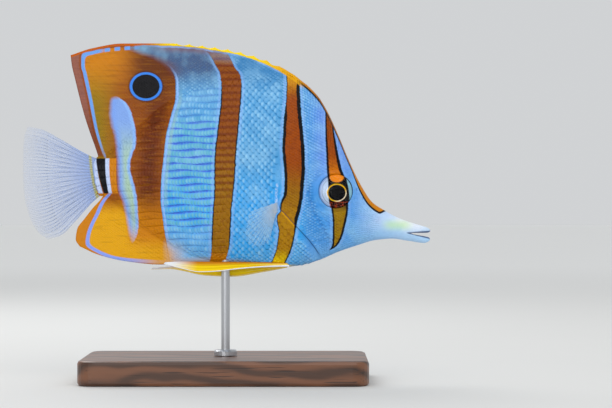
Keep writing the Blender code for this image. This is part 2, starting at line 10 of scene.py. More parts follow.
import bmesh
import bpy
import numpy as np
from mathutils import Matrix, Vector

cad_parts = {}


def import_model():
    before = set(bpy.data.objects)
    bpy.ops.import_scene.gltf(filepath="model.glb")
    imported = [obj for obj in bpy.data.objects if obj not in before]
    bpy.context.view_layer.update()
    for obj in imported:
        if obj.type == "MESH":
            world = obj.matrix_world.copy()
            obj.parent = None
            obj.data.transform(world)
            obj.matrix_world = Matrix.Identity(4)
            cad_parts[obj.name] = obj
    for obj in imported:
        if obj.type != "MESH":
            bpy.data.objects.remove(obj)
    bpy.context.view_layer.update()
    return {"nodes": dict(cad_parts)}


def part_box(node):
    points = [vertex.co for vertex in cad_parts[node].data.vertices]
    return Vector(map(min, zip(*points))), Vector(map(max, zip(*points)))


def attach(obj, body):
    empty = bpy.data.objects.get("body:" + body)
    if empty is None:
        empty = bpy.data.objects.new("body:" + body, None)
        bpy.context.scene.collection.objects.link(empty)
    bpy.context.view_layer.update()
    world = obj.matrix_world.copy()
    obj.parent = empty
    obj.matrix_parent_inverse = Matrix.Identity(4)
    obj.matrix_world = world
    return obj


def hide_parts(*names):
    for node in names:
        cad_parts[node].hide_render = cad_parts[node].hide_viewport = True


bl_info = {
    "name": "Copperband Butterflyfish",
    "version": (1, 0, 0),
    "blender": (4, 5, 0),
    "location": "3D View > Sidebar > Reef Fish",
    "description": "Skin, scales, fins and eyes for a solid model of a copperband butterflyfish",
    "category": "Add Mesh",
}

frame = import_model()

MM = 0.001
SIDES = (("right", -1), ("left", 1))
EYE_X, EYE_Z = 40.2, -5.7
EYE_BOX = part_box("eye_right")
AXIS_HEIGHT = (EYE_BOX[0][2] + EYE_BOX[1][2]) / 2 / MM - EYE_Z

# Side outlines of body and fins together, from the mouth to the rear corners of the fins.
BACK = [
    (67, -16.8), (62.5, -15), (58.4, -12.7), (53.8, -9.6), (49.6, -3.3), (45.4, 5.3), (41.2, 15.3),
    (36.7, 24.8), (33.4, 29.8), (27.1, 35.5), (20.7, 39.7), (10.2, 44.1), (-2.4, 47), (-19.3, 48.6),
    (-37.8, 48.6), (-49, 46.9), (-57, 44.4)]
BELLY = [
    (67, -23.8), (61, -23), (55.2, -23.5), (48.2, -25.5), (41.2, -27.9), (34.2, -30.9), (27.2, -32.8),
    (20.2, -33.5), (5.3, -32.4), (-9.4, -31.6), (-24, -32.5), (-36.5, -31.3), (-46.5, -29), (-53.6, -25.9)]

# The flesh alone, behind the head: its back under the dorsal fin, its belly over the anal fin.
FLESH_BACK = [
    (27.1, 35.5), (20, 37.2), (12.7, 37.7), (5.3, 37.5), (-2, 36.2), (-9.4, 33.8), (-16.7, 30.2),
    (-24, 25.3), (-31.4, 19.1), (-38.7, 12.2), (-43.1, 8.4), (-47.5, 6.4)]
FLESH_BELLY = [
    (5.3, -32.4), (-2, -31.6), (-9.4, -30.2), (-16.7, -27.3), (-24, -23.5), (-31.4, -18.3), (-38.7, -11.6),
    (-43.1, -8), (-47.5, -6.2)]
DORSAL_START, ANAL_START = 27.1, -2

# Rear edges of the two fins, up from the anal fin's corner, with the tail stalk between them.
ANAL_REAR = [
    (-53.6, -25.9), (-55.1, -23.4), (-54.6, -19.6), (-51.7, -15.5), (-48.7, -11.7), (-45.4, -8),
    (-44.6, -6.5)]
DORSAL_REAR = [
    (-46.6, 6.6), (-47.6, 9.8), (-49.2, 14.2), (-51.2, 20), (-53.2, 27), (-55.2, 35), (-56.6, 41),
    (-57, 44.4)]

# Half of the body's width along its length, and how its sections close above and below.
HALF_WIDTH = [
    (67, 1.9), (62, 2.2), (57, 2.9), (52, 3.9), (47, 5), (41, 6.1), (35, 7.1), (29, 7.9), (22, 8.5),
    (14, 8.7), (5, 8.4), (-5, 7.5), (-15, 6.1), (-25, 4.7), (-35, 3.3), (-42, 2.5), (-48, 2.1)]
UPPER_POWER = [(60, 0.50), (45, 0.58), (30, 0.64), (10, 0.72), (-12, 0.76), (-44, 0.50)]
LOWER_POWER = [(60, 0.50), (40, 0.55), (20, 0.58), (0, 0.62), (-22, 0.70), (-44, 0.50)]
SECTION_POWER = 2.2
FIN_ROOT_REACH, FIN_EDGE_ROUND = 5, 0.7

# The tail bends a little to the fish's left.
BEND_START, BEND_LENGTH, BEND_REACH = -18, 57, 3.5

# The skin's grid: how far apart its stations stand along the body, and steps up each side.
MOUTH_X, SPREAD_X = 67, -9.4
STATION_SPACING = [
    (67, 0.40), (57, 0.34), (49, 0.22), (33, 0.22), (27, 0.38), (17, 0.42), (10, 0.60), (-9.4, 0.60)]
REAR_STATIONS, SIDE_STEPS = 84, 132
STALK_SHARES = (0.277, 0.546)
STALK_REACH, STALK_TAPER, STALK_EDGE_X = 3, 4, -45.6

# The skin's unwrap, which is measured on a body with a plain coat and plain fins.
UNWRAP_BELOW, UNWRAP_REACH, UNWRAP_HALF_LENGTH = 50, 118, 80
UNWRAP_STEP_X, UNWRAP_STEP_Z = 0.5, 0.1
PLAIN_COAT, PLAIN_FIN_EDGE, PLAIN_FIN_ROOT = 0.2, 0.15, 0.62

# The gill opening and the cheek's edge in front of it, as x for each height.
GILL_LINE = [
    (11.4, 21.8), (0.4, 20.4), (-7, 19.6), (-11.5, 20), (-13.8, 21.8), (-18.7, 26.2), (-24.9, 31.7),
    (-31.5, 36.1)]
CHEEK_LINE = [(9.5, 29.5), (-1.5, 30.6), (-10.6, 32.5), (-16.9, 35.4), (-23.5, 39.4)]
GILL_TURN, GILL_SLANT = -12.5, 0.74
ORBIT_RADIUS = 6.15
NOSTRILS = [(48, -5), (50.2, -8.4)]

# The parted jaws: heights of each jaw's upper and lower side and half its width, along the snout.
UPPER_JAW = [
    (67, -16.8, -20.9, 1.9), (70, -17.7, -20.9, 1.6), (73, -18.6, -20.9, 1.25), (74.6, -19.3, -20.7, 0.8),
    (75.05, -19.8, -20.3, 0.25)]
LOWER_JAW = [
    (67, -20.9, -23.8, 1.9), (68.4, -21.3, -24, 1.75), (70, -21.6, -24.3, 1.55), (72.8, -22.1, -24.6, 1.2),
    (74.5, -22.5, -24, 0.8), (74.95, -22.9, -23.5, 0.25)]
JAW_STATIONS, MOUTH_STEPS = 22, 14

# The tail fin: its root on the stalk, its outer edges and its rear margin.
TAIL_ROOT = [(-44.4, -6), (-46.6, 6.1)]
TAIL_TOP = [(-46.6, 6.1), (-50.8, 7.9), (-60.7, 13.5), (-68.2, 17.3), (-73, 18.2)]
TAIL_BOTTOM = [(-44.4, -6), (-48.6, -9.4), (-55.2, -16.6), (-60.6, -21.8), (-65.5, -23.4)]
TAIL_MARGIN = [
    (-65.5, -23.4), (-69.6, -20.2), (-72.8, -13.5), (-74.6, -4.5), (-74.9, 5), (-74.5, 13.5), (-73, 18.2)]

# Paired fins: the folded pelvic fins by outer and inner edge, the pectoral fins by their spread.
PELVIC_OUTER = {
    "right": [
        (23.4, -32.9), (14.9, -33.1), (5.3, -33.8), (-3.7, -34.8), (-9, -35), (-16.5, -33.6), (-22.4, -32)],
    "left": [
        (22.5, -33.4), (13, -35.2), (2.3, -36.8), (-8.1, -36.4), (-15.3, -34.9), (-20.5, -34.1),
        (-27.6, -34.3)],
}
PELVIC_INNER = {
    "right": [
        (22.4, -31.9), (13.4, -31.6), (-3.5, -31.4), (-16.5, -31.3), (-21.8, -31.6)],
    "left": [
        (21.5, -32.2), (13, -31.9), (-3.5, -31.7), (-14.5, -32.4), (-20.2, -33.3), (-27, -33.8)],
}
PELVIC_SPACING, PELVIC_SPLAY, PELVIC_HALF = 2.9, 1.4, 0.14
PECTORAL_ROOT, LOBE_AHEAD = (18.6, -11.6), 0.35
PECTORAL_LENGTH, PECTORAL_SPREAD, PECTORAL_ROOT_HEIGHT = 19, 58, 3.4
PECTORAL_FALL, PECTORAL_FLARE, PECTORAL_CUP, PECTORAL_STANDOFF = 42, 48, 2.2, 0.45

# The tail rays' three runs, from root to margin: where each starts and ends, and how thick it is.
TAIL_RUNS = ((0.02, 0.42, 0.30, 0.19), (0.40, 0.72, 0.19, 0.14), (0.70, 0.985, 0.14, 0.10))
TAIL_INSET = 0.03

# Steps of the fins' sheets from root to margin and across.
TAIL_NET, PECTORAL_NET, PELVIC_NET = (60, 90), (40, 60), (60, 24)

# Fin rays: where the first and last of each fin leave the flesh and reach the edge, how many there
# are, how short of the edge they stop, and how far round it they go.
SPINE_ROOTS, SPINE_TIPS = (25, -8), (19.5, -18)
SOFT_DORSAL_ROOTS, SOFT_DORSAL_TIPS = (-9.6, -45.4), -20.5
ANAL_SPINE_ROOTS, ANAL_SPINE_TIPS = (-5, -13), (-12, -27)
SOFT_ANAL_ROOTS, SOFT_ANAL_TIPS = (-15, -43.8), -30
FIN_SPINES, DORSAL_RAYS, ANAL_SPINES, ANAL_RAYS = 9, 29, 3, 20
RAY_INSET, RAY_REACH = 0.6, 0.93

# Scales: the rows' first edge and pitch, how they overlap and waver, and where each field ends.
ROW_EDGE, ROW_PITCH = 1.8, 2.53
EVERYWHERE = -99
SCALE_OVERLAP, SCALE_CROWDING, ROW_WAVER, RANK_SWERVE = 2.04, 1.14, 0.3, 0.13
MAP_PATCH, FIN_LIFT = 0.003, 0.5
GILL_TOP, BORDER_WIDTH, FACE_START, FACE_END = 11.4, 3.2, 43, 57.5
FIN_FIELD_REACH, HIGH_FIELD_REACH, OUTER_FIELD_REACH, MOST_ROWS = 7, 15, 20, 75
LATERAL_LINE = [
    (21.5, 9.5), (18, 15), (11, 20.8), (2, 24.2), (-8, 24.8), (-16, 23.6), (-24, 20.4), (-32, 15.2),
    (-39.5, 9.6)]
LATERAL_TUBES, TUBE_SHARE = 44, 0.62

# Coloured bars, as x of the rear and the front edge for each height.
EYE_BAR_REAR = [
    (31, 32.4), (29, 33.9), (26.4, 35.5), (22.2, 36.6), (15.3, 36.6), (4.8, 37), (0.9, 37.2), (-1.2, 37.6),
    (-8.9, 38), (-12.1, 38.7), (-18.1, 39.3), (-24.7, 39.1), (-27.2, 38)]
EYE_BAR_FRONT = [
    (31, 36), (24.8, 38.2), (20.5, 39.1), (13.5, 40.2), (3.7, 42.2), (-0.5, 43.5), (-2.3, 44),
    (-10.3, 44.9), (-14.6, 44.5), (-18.1, 43.8), (-21.6, 42.9), (-25.1, 41.2), (-27.2, 38.3)]
GILL_BAR_REAR = [
    (42, 21.4), (33.2, 22.4), (18, 21.3), (10.7, 21), (-1.4, 21.7), (-5.4, 21.6), (-10.5, 20.2), (-13, 20),
    (-15.4, 18.9), (-20.2, 19.5), (-24.9, 19), (-29.5, 17.7), (-34.5, 15.8)]
GILL_BAR_FRONT = [
    (42, 26.6), (35.3, 27), (23.5, 27.7), (8.1, 29), (2.7, 29.1), (-2.7, 28.8), (-8.1, 28.3), (-12.1, 27.5),
    (-17, 26.3), (-22.5, 25.3), (-27.7, 23.9), (-31.4, 22.2), (-34.5, 20.6)]
MIDDLE_BAR_REAR = [
    (47, -8), (44.1, -5.6), (40.7, -3.7), (35.7, -1.7), (32, -1.4), (18.9, -2.4), (6.2, -3.7), (-6.2, -3.9),
    (-20.2, -4.8), (-27.7, -5.1), (-33, -6.4)]
MIDDLE_BAR_FRONT = [
    (47, -1.5), (44.1, 1.2), (39.5, 3.5), (36.1, 5.6), (32.7, 6), (20.1, 5.2), (7.5, 4.1), (-1.5, 3.6),
    (-13.2, 2.4), (-24.9, 1.7), (-29.5, 0.5), (-33, -0.2)]
TAIL_BAR_FRONT = [
    (49, -42), (45.5, -33), (42.9, -25.5), (40.9, -22), (38.6, -19.9), (35.4, -18.5), (29.7, -18.3),
    (22.3, -19.8), (15, -21.5), (6, -22.5), (-1.5, -23.3), (-8.5, -23.5), (-15.5, -22.8), (-22.5, -21.9),
    (-33, -20.2)]
PATCH_REAR = [
    (29.6, -40.9), (28.2, -42), (24.2, -42.4), (19, -41.9), (15.8, -40.9), (9.2, -39.8), (3.3, -39.4),
    (-4.3, -39), (-9.5, -37.5), (-15.1, -36.4), (-22.6, -35.2), (-25.5, -34.6)]
PATCH_FRONT = [
    (29.6, -40.7), (28.6, -38.9), (25.5, -35.7), (20.6, -33.9), (15.7, -32.9), (12.5, -32.7), (7.9, -34),
    (3.3, -34.8), (-0.1, -34.2), (-5, -32.9), (-11.3, -32.1), (-16.9, -31.9), (-20.7, -32.3),
    (-25.5, -34.4)]

# The blue lines inside the fins' margins: down the rear of each fin, and along its edge.
DORSAL_LINE_REAR = [
    (48, -52.4), (40.9, -52.4), (37.6, -51.7), (33, -50.7), (27.5, -49.5), (21.6, -48.4), (16.4, -47.3),
    (10.8, -45.6), (6.9, -44.2)]
DORSAL_LINE_EDGE = [(-56, 44.4), (-49.5, 45.1), (-46.9, 45.7), (-41, 46.5), (-30, 47.2)]
ANAL_LINE_REAR = [
    (-6.5, -42.4), (-9.5, -45), (-14.3, -47.3), (-18.8, -49.5), (-22.2, -50.5), (-30, -51.2)]
ANAL_LINE_EDGE = [
    (-54, -23.8), (-50.2, -25.9), (-48, -27.1), (-44.3, -28.9), (-39.8, -30.3), (-25, -31.6)]
LINE_CORNER = 3

# The tail stalk's marks, from the tail fin forwards, each by its x at stalk top and bottom.
STALK_TOP, STALK_BOTTOM = 6.4, -6.4
STALK_MARKS = {
    "yellow": ((-50.2, -49.2), (-48.1, -46.9)),
    "white_behind": ((-48.8, -47.4), (-46.6, -44.9)),
    "black": ((-47.5, -44), (-44.5, -42.8)),
    "white_before": ((-44.2, -42.5), (-43, -41.5)),
    "orange": ((-42.5, -39.8), (-41.6, -39.3)),
}
OCELLUS = (-29.2, 32.8)
OCELLUS_BLACK, OCELLUS_RING = (5, 4.4), (6, 5.25)

# The eye: its pupil, the ball's radius, half depth, distance off the middle plane and turn.
PUPIL_X, PUPIL_Z = 40.7, -6.2
PUPIL_RADII = (3.17, 2.9)
EYE_RADIUS, EYE_DEPTH, EYE_OFFSET, EYE_TURN = 6.5, 3, 4.85, 8
EYE_AROUND = 64

# The camera looks along +Y at this place of the fish and takes in this width there.
AIM_X, AIM_Z = 29.5, -10.3
FRAME_WIDTH = 224.45
SENSOR_WIDTH = 36
FLOOR_RADIUS, ROOM_TINT = 6, (0.96, 0.98, 1)
LIT_PLACE = (0, 0, 0.07)
LAMPS = (("key", (0.16, -0.62, 0.74), 0.8), ("fill", (-0.25, -0.85, 0.06), 0.7),
         ("rim", (-0.25, 0.4, 0.55), 0.4))


def srgb(red, green, blue):
    """A colour as a screen shows it, from 0 to 255, in the linear values that shaders take."""
    return tuple((c / 255 / 12.92) if c <= 10 else ((c / 255 + 0.055) / 1.055) ** 2.4
                 for c in (red, green, blue))


def in_mm(metres):
    return metres / MM


# Shape: curves through points, and the height of the fish's side over its middle plane.


def smooth(points):
    """A function that follows the points without overshooting them (a monotone cubic)."""
    table = np.array(sorted(points), float)
    x, y = table[:, 0], table[:, 1]
    step = np.diff(x)
    slope = np.diff(y) / step
    tangent = np.empty(len(x))
    tangent[0], tangent[-1] = slope[0], slope[-1]
    before, after = slope[:-1], slope[1:]
    turning = before * after <= 0
    harmonic = 3 * (step[:-1] + step[1:]) / (
        (2 * step[1:] + step[:-1]) / np.where(turning, 1, before)
        + (step[1:] + 2 * step[:-1]) / np.where(turning, 1, after))
    tangent[1:-1] = np.where(turning, 0, harmonic)

    def value(at):
        at = np.clip(np.asarray(at, float), x[0], x[-1])
        i = np.clip(np.searchsorted(x, at) - 1, 0, len(step) - 1)
        t = (at - x[i]) / step[i]
        return (y[i] * (1 + 2 * t) * (1 - t) ** 2 + step[i] * tangent[i] * t * (1 - t) ** 2
                + y[i + 1] * t * t * (3 - 2 * t) + step[i] * tangent[i + 1] * t * t * (t - 1))

    return value


def along(points):
    """A smooth function of 0 to 1 that runs through points in the plane, by their spacing."""
    table = np.array(points, float)
    gone = np.concatenate([[0], np.cumsum(np.linalg.norm(np.diff(table, axis=0), axis=1))])
    gone /= gone[-1]
    each = [smooth(list(zip(gone, table[:, k]))) for k in range(table.shape[1])]
    return lambda t: np.stack([f(t) for f in each], axis=-1)


def together(*parts):
    """Coordinates of places, side by side; a single number serves for all places."""
    return np.stack(np.broadcast_arrays(*parts), axis=-1)


def net(rows, columns, low=0, high=1):
    """Shares along and across a fin, over a grid of places."""
    return np.meshgrid(np.linspace(0, 1, rows), np.linspace(low, high, columns), indexing="ij")


def ease(value, start, end):
    """Rises smoothly from 0 at start to 1 at end."""
    t = np.clip((np.asarray(value, float) - start) / (end - start), 0, 1)
    return t * t * (3 - 2 * t)


back, belly = smooth(BACK), smooth(BELLY)
flesh_back, flesh_belly = smooth(FLESH_BACK), smooth(FLESH_BELLY)
half_width = smooth(HALF_WIDTH)
upper_power, lower_power = smooth(UPPER_POWER), smooth(LOWER_POWER)
anal_rear = smooth([(z, x) for x, z in ANAL_REAR])
dorsal_rear = smooth([(z, x) for x, z in DORSAL_REAR])
gill_line, cheek_line = smooth(GILL_LINE), smooth(CHEEK_LINE)


def flesh_top(x):
    return np.where(x > DORSAL_START, back(x), np.minimum(flesh_back(x), back(x)))


def flesh_bottom(x):
    return np.where(x > FLESH_BELLY[0][0], belly(x), np.maximum(flesh_belly(x), belly(x)))


def bend(x):
    """How far the tail swings to the fish's left at x."""
    return BEND_REACH * (np.clip(BEND_START - np.asarray(x, float), 0, None) / BEND_LENGTH) ** 2


def bend_slope(x):
    return -2 * BEND_REACH * np.clip(BEND_START - np.asarray(x, float), 0, None) / BEND_LENGTH ** 2


def body_half_thickness(x, z, coat, fin_edge, fin_root):
    """Half of the thickness of flesh and fin at a place in the side view, under a coat of scales."""
    top, bottom = flesh_top(x), flesh_bottom(x)
    middle = (top + bottom) / 2
    upper = z > middle
    share = np.abs(z - middle) / np.maximum((top - bottom) / 2, 1e-6)
    power = np.where(upper, upper_power(x), lower_power(x))
    taper = 1 - 0.8 * ease(-x, -STALK_EDGE_X, -STALK_EDGE_X + STALK_TAPER)
    flesh = (half_width(x) * taper - coat) * (1 - np.clip(share, 0, 1) ** SECTION_POWER) ** power
    flesh = np.maximum(flesh, 0)
    beyond = np.where(upper, z - top, bottom - z)
    to_edge = np.where(upper, back(x) - z, z - belly(x))
    has_fin = np.where(upper, x < DORSAL_START, x < ANAL_START)
    fin = fin_edge + (fin_root - fin_edge) * np.exp(-np.clip(beyond, 0, None) / FIN_ROOT_REACH)
    fin = fin * np.sqrt(np.clip(to_edge / FIN_EDGE_ROUND, 0, 1)) * has_fin
    return (flesh ** 3 + fin ** 3) ** (1 / 3)


def gill_distance(x, z):
    """How far ahead of the gill opening a place is, roughly square to the line."""
    slant = np.where(z < GILL_TURN, GILL_SLANT, 1)
    return (x - gill_line(z)) * slant


def relief(x, z, skin):
    """What the skin adds to the smooth body: eye rim, gill cover, cheek edge and nostrils."""
    from_eye = np.hypot(x - EYE_X, z - EYE_Z)
    rim = in_mm(skin.orbit_rim)
    raised = rim * np.exp(-((from_eye - ORBIT_RADIUS - 0.55) / 0.5) ** 2)
    raised -= 0.35 * rim * np.exp(-((from_eye - ORBIT_RADIUS - 1.5) / 0.35) ** 2)
    raised -= 1.6 * (1 - ease(from_eye, ORBIT_RADIUS - 0.45, ORBIT_RADIUS + 0.1))
    step = in_mm(skin.gill_step)
    ahead = gill_distance(x, z)
    open_here = ease(z, 12.5, 8.5) * ease(z, -32.5, -30)
    behind = -step * ease(ahead, 0.12, -0.12) * ease(ahead, -3.4, -0.4)
    cover = 0.5 * step * ease(ahead, -0.1, 0.1) * ease(ahead, 2.5, 0.3)
    raised += open_here * (behind + cover)
    cheek = x - cheek_line(z)
    here = ease(z, 10.5, 8) * ease(z, -25, -23)
    raised += here * 0.4 * step * (ease(cheek, -0.25, 0.25) * ease(cheek, 2.2, 0.4)
                                   - 0.6 * ease(cheek, 0.25, -0.25) * ease(cheek, -1.4, -0.3))
    for hole_x, hole_z in NOSTRILS:
        off = np.hypot(x - hole_x, (z - hole_z) * 0.8)
        raised += 0.12 * np.exp(-((off - 0.62) / 0.2) ** 2) - 0.45 * (1 - ease(off, 0.2, 0.5))
    return raised


def skin_half(x, z, skin):
    """Half of the thickness of the skinned body, without its scales."""
    plain = body_half_thickness(x, z, in_mm(skin.coat_depth), in_mm(skin.fin_edge),
                                in_mm(skin.fin_root))
    return np.maximum(plain + relief(x, z, skin) * ease(plain, 0.3, 2), 0)


def world(x, y, z):
    """A place of the fish's own frame, in metres above the floor."""
    return together(np.asarray(x) * MM, (np.asarray(y) + bend(x)) * MM, (np.asarray(z) + AXIS_HEIGHT) * MM)


# The skin's grid.


def crowded(density, count):
    """Values from 0 to 1, closer together where density, a list of samples, is higher."""
    gone = np.concatenate([[0], np.cumsum((density[1:] + density[:-1]) / 2)])
    return np.interp(np.linspace(0, gone[-1], count + 1), gone, np.linspace(0, 1, len(density)))


def side_shares(x):
    """Heights up a section, closer near its edges and, in the head, near the eye."""
    s = np.linspace(0, 1, 400)
    near_eye = ease(x, 30, 35) * ease(x, 52, 46)
    eye_share = 0.49 + 0.012 * (EYE_X - x) * near_eye
    density = (1 + 2 * np.exp(-s / 0.03) + 2 * np.exp(-(1 - s) / 0.03)
               + 2.4 * near_eye * np.exp(-((s - eye_share) / 0.17) ** 2))
    return crowded(density, SIDE_STEPS)


def stations():
    """Places of the upright sections, from the mouth to where the rays spread."""
    spacing = smooth(STATION_SPACING)
    places = [MOUTH_X]
    while places[-1] > SPREAD_X:
        places.append(places[-1] - float(spacing(places[-1])))
    places = np.array(places)
    return MOUTH_X + (places - MOUTH_X) * (SPREAD_X - MOUTH_X) / (places[-1] - MOUTH_X)


def rear_edge(share):
    """The rear end of the loft: anal fin, tail stalk and dorsal fin, from the bottom up."""
    shares = side_shares(SPREAD_X)
    first, last = (shares[np.argmin(np.abs(shares - s))] for s in STALK_SHARES)
    anal_top, dorsal_bottom = ANAL_REAR[-1], DORSAL_REAR[0]
    z = np.interp(share, [0, first, last, 1],
                  [ANAL_REAR[0][1], anal_top[1], dorsal_bottom[1], DORSAL_REAR[-1][1]])
    stalk = np.interp(z, [anal_top[1], dorsal_bottom[1]], [anal_top[0], dorsal_bottom[0]])
    over = np.clip((share - first) / (last - first), 0, 1)
    stalk = stalk - STALK_REACH * np.sqrt(np.clip(4 * over * (1 - over), 0, 1))
    x = np.where(z <= anal_top[1], anal_rear(z), np.where(z >= dorsal_bottom[1], dorsal_rear(z), stalk))
    return together(x, z)


def patch(bottom, top, front, rear, a, b):
    """A Coons patch: a runs from the front curve to the rear one, b from the bottom up."""
    a, b = np.asarray(a, float)[..., None], np.asarray(b, float)[..., None]
    one, nought = np.ones_like(a[..., 0]), np.zeros_like(a[..., 0])
    corners = ((1 - a) * (1 - b) * front(nought) + (1 - a) * b * front(one)
               + a * (1 - b) * rear(nought) + a * b * rear(one))
    return ((1 - a) * front(b[..., 0]) + a * rear(b[..., 0])
            + (1 - b) * bottom(a[..., 0]) + b * top(a[..., 0]) - corners)


def edge_run(outline, end_x):
    """Part of a back or belly outline, from where the rays spread to the rear corner."""
    def run(t):
        x = SPREAD_X + (end_x - SPREAD_X) * t
        return together(x, outline(x))
    return run


def spread_line(share):
    z = belly(SPREAD_X) + (back(SPREAD_X) - belly(SPREAD_X)) * share
    return together(SPREAD_X, z)


def spiny_notch(x, z, depth):
    """How far the fin's edge sinks between two spine tips, at places near the back's outline."""
    first, last = SPINE_TIPS
    phase = (first - x) / (first - last) * (FIN_SPINES - 1)
    dip = (1 - np.abs(2 * (phase % 1) - 1)) ** 0.7
    inside = ease(x, last - 1, last) * ease(x, first + 1, first)
    return depth * dip * inside * ease(z, back(x) - 4, back(x))


def body_grid(skin):
    """Side-view places of the whole loft: stations by heights."""
    rows = []
    for x in stations()[:-1]:
        z = belly(x) + (back(x) - belly(x)) * side_shares(x)
        rows.append(together(x, z))
    shares = side_shares(SPREAD_X)
    for a in np.linspace(0, 1, REAR_STATIONS + 1):
        rows.append(patch(edge_run(belly, BELLY[-1][0]), edge_run(back, BACK[-1][0]),
                          spread_line, rear_edge, np.full(len(shares), a), shares))
    grid = np.array(rows)
    grid[..., 1] -= spiny_notch(grid[..., 0], grid[..., 1], in_mm(skin.notch_depth))
    return grid


# Meshes.


def make_mesh(name, points, faces):
    """A smooth-shaded mesh in metres, with its faces turned outwards."""
    mesh = bpy.data.meshes.new(name)
    mesh.from_pydata(points.tolist(), [], faces)
    shape = bmesh.new()
    shape.from_mesh(mesh)
    bmesh.ops.recalc_face_normals(shape, faces=shape.faces)
    shape.to_mesh(mesh)
    shape.free()
    mesh.shade_smooth()
    return mesh


def store(mesh, name, values):
    """Gives every point of a mesh a number or a vector of its own."""
    kind, key = ("FLOAT", "value") if values.ndim == 1 else ("FLOAT_VECTOR", "vector")
    mesh.attributes.new(name, kind, "POINT").data.foreach_set(key, values.ravel())


def new_piece(name, mesh, material):
    """An object in one material, at the origin; it takes the place of an older one."""
    old = bpy.data.objects.get(name)
    if old:
        bpy.data.objects.remove(old)
    piece = bpy.data.objects.new(name, mesh)
    mesh.materials.clear()
    mesh.materials.append(material)
    bpy.context.scene.collection.objects.link(piece)
    return piece


def add_piece(name, mesh, material, replaced=()):
    """A piece of the fish, attached to its root, with the nodes it stands for hidden."""
    piece = new_piece(name, mesh, material)
    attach(piece, "root")
    if replaced:
        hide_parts(*replaced)
    return piece


def grid_faces(rows, columns, start=0, closed=False):
    """Quads between the places of a grid, whose columns may close into rings."""
    faces = []
    for r in range(rows - 1):
        for c in range(columns if closed else columns - 1):
            here, beside = start + r * columns + c, start + r * columns + (c + 1) % columns
            faces.append((here, beside, beside + columns, here + columns))
    return faces


def rim_faces(rows, columns, under):
    """Quads from the rim of a grid to the points that under gives for it, and the rim itself."""
    last = (rows - 1) * columns
    rim = (list(range(columns)) + [r * columns + columns - 1 for r in range(1, rows)]
           + [last + c for c in range(columns - 2, -1, -1)]
           + [r * columns for r in range(rows - 2, 0, -1)])
    low = under(rim)
    return list(zip(rim, rim[1:] + rim[:1], low[1:] + low[:1], low)), rim


def jaw_outline(table, x):
    """Height of a jaw's top and bottom and half of its width at x."""
    columns = [smooth([(row[0], row[k]) for row in table]) for k in (1, 2, 3)]
    return [float(f(x)) for f in columns]


def add_jaw(points, faces, table, corner_ring, mouth_ring, upper):
    """Grows one jaw from part of the body's first ring; the mouth's corner line is shared."""
    outer = np.array([points[i] for i in corner_ring])
    inner = np.array([points[i] for i in mouth_ring])
    count, tip_x = len(corner_ring), table[-1][0]
    ring = list(corner_ring) + list(mouth_ring)
    turn = np.linspace(0, np.pi, count)
    back_turn = np.linspace(np.pi, 2 * np.pi, len(mouth_ring) + 2)[1:-1]
    for step in range(1, JAW_STATIONS + 1):
        t = (step / JAW_STATIONS) ** 0.85
        x = MOUTH_X + (tip_x - MOUTH_X) * t
        top, bottom, half = jaw_outline(table, x)
        flat = bottom if upper else top
        far = top if upper else bottom
        widest = flat + (far - flat) * 0.5 * ease(t, 0, 1)
        round_outer = together(x, -half * np.cos(turn), widest + (far - widest) * np.sin(turn))
        round_inner = together(x, -half * np.cos(back_turn), widest - (flat - widest) * np.sin(back_turn))
        blend = ease(t, 0, 0.35)
        at_outer = outer + (x - MOUTH_X) * np.array([1, 0, 0])
        at_inner = inner + (x - MOUTH_X) * np.array([1, 0, 0])
        at_outer[:, 2] += (far - (back(MOUTH_X) if upper else belly(MOUTH_X))) * (
            np.abs(outer[:, 2] - outer[0, 2]) / np.abs(outer[:, 2] - outer[0, 2]).max())
        new_outer = at_outer * (1 - blend) + round_outer * blend
        gap = ease(t, 0, 0.12)
        new_inner = at_inner * (1 - gap) + round_inner * gap
        place = np.concatenate([new_outer, new_inner])
        start = len(points)
        points.extend(place.tolist())
        new_ring = list(range(start, start + len(place)))
        for k in range(len(ring)):
            after = (k + 1) % len(ring)
            quad = (ring[k], ring[after], new_ring[after], new_ring[k])
            faces.append(quad if upper else quad[::-1])
        ring = new_ring
    faces.append(tuple(ring) if upper else tuple(reversed(ring)))


def skin_mesh(skin):
    """Body, head, jaws and the two long fins as one closed skin with its own unwrap."""
    grid = body_grid(skin)
    half = skin_half(grid[..., 0], grid[..., 1], skin)
    margin = np.ones(len(grid))
    margin[-3:] = (0.92, 0.75, 0.35)
    half = half * margin[:, None]
    half[:, 0] = half[:, -1] = 0
    rows, steps = grid.shape[0], grid.shape[1] - 1
    ring_size = 2 * steps
    rings = []
    for row, thick in zip(grid, half):
        right = together(row[:, 0], -thick, row[:, 1])
        left = together(row[1:-1, 0], thick[1:-1], row[1:-1, 1])[::-1]
        rings.append(np.concatenate([right, left]))
    points = np.concatenate(rings).tolist()
    faces = grid_faces(rows, ring_size, closed=True)
    last = (rows - 1) * ring_size
    for k in range(1, steps - 1):
        faces.append((last + k, last + k + 1, last + ring_size - k - 1, last + ring_size - k))
    faces.append((last, last + 1, last + ring_size - 1))
    faces.append((last + steps - 1, last + steps, last + steps + 1))
    right_corner = int(np.argmin(np.abs(grid[0][:, 1] - UPPER_JAW[0][2])))
    left_corner = ring_size - right_corner
    from_left, from_right = np.array(points[left_corner]), np.array(points[right_corner])
    start = len(points)
    for t in np.linspace(0, 1, MOUTH_STEPS + 1)[1:-1]:
        points.append((from_left * (1 - t) + from_right * t).tolist())
    mouth = list(range(start, len(points)))
    upper_ring = list(range(right_corner, left_corner + 1))
    lower_ring = list(range(left_corner, ring_size)) + list(range(0, right_corner + 1))
    add_jaw(points, faces, UPPER_JAW, upper_ring, mouth, True)
    add_jaw(points, faces, LOWER_JAW, lower_ring[::-1], mouth, False)
    places = np.array(points)
    mesh = make_mesh("skin", world(*places.T), faces)
    add_side_unwrap(mesh)
    return mesh


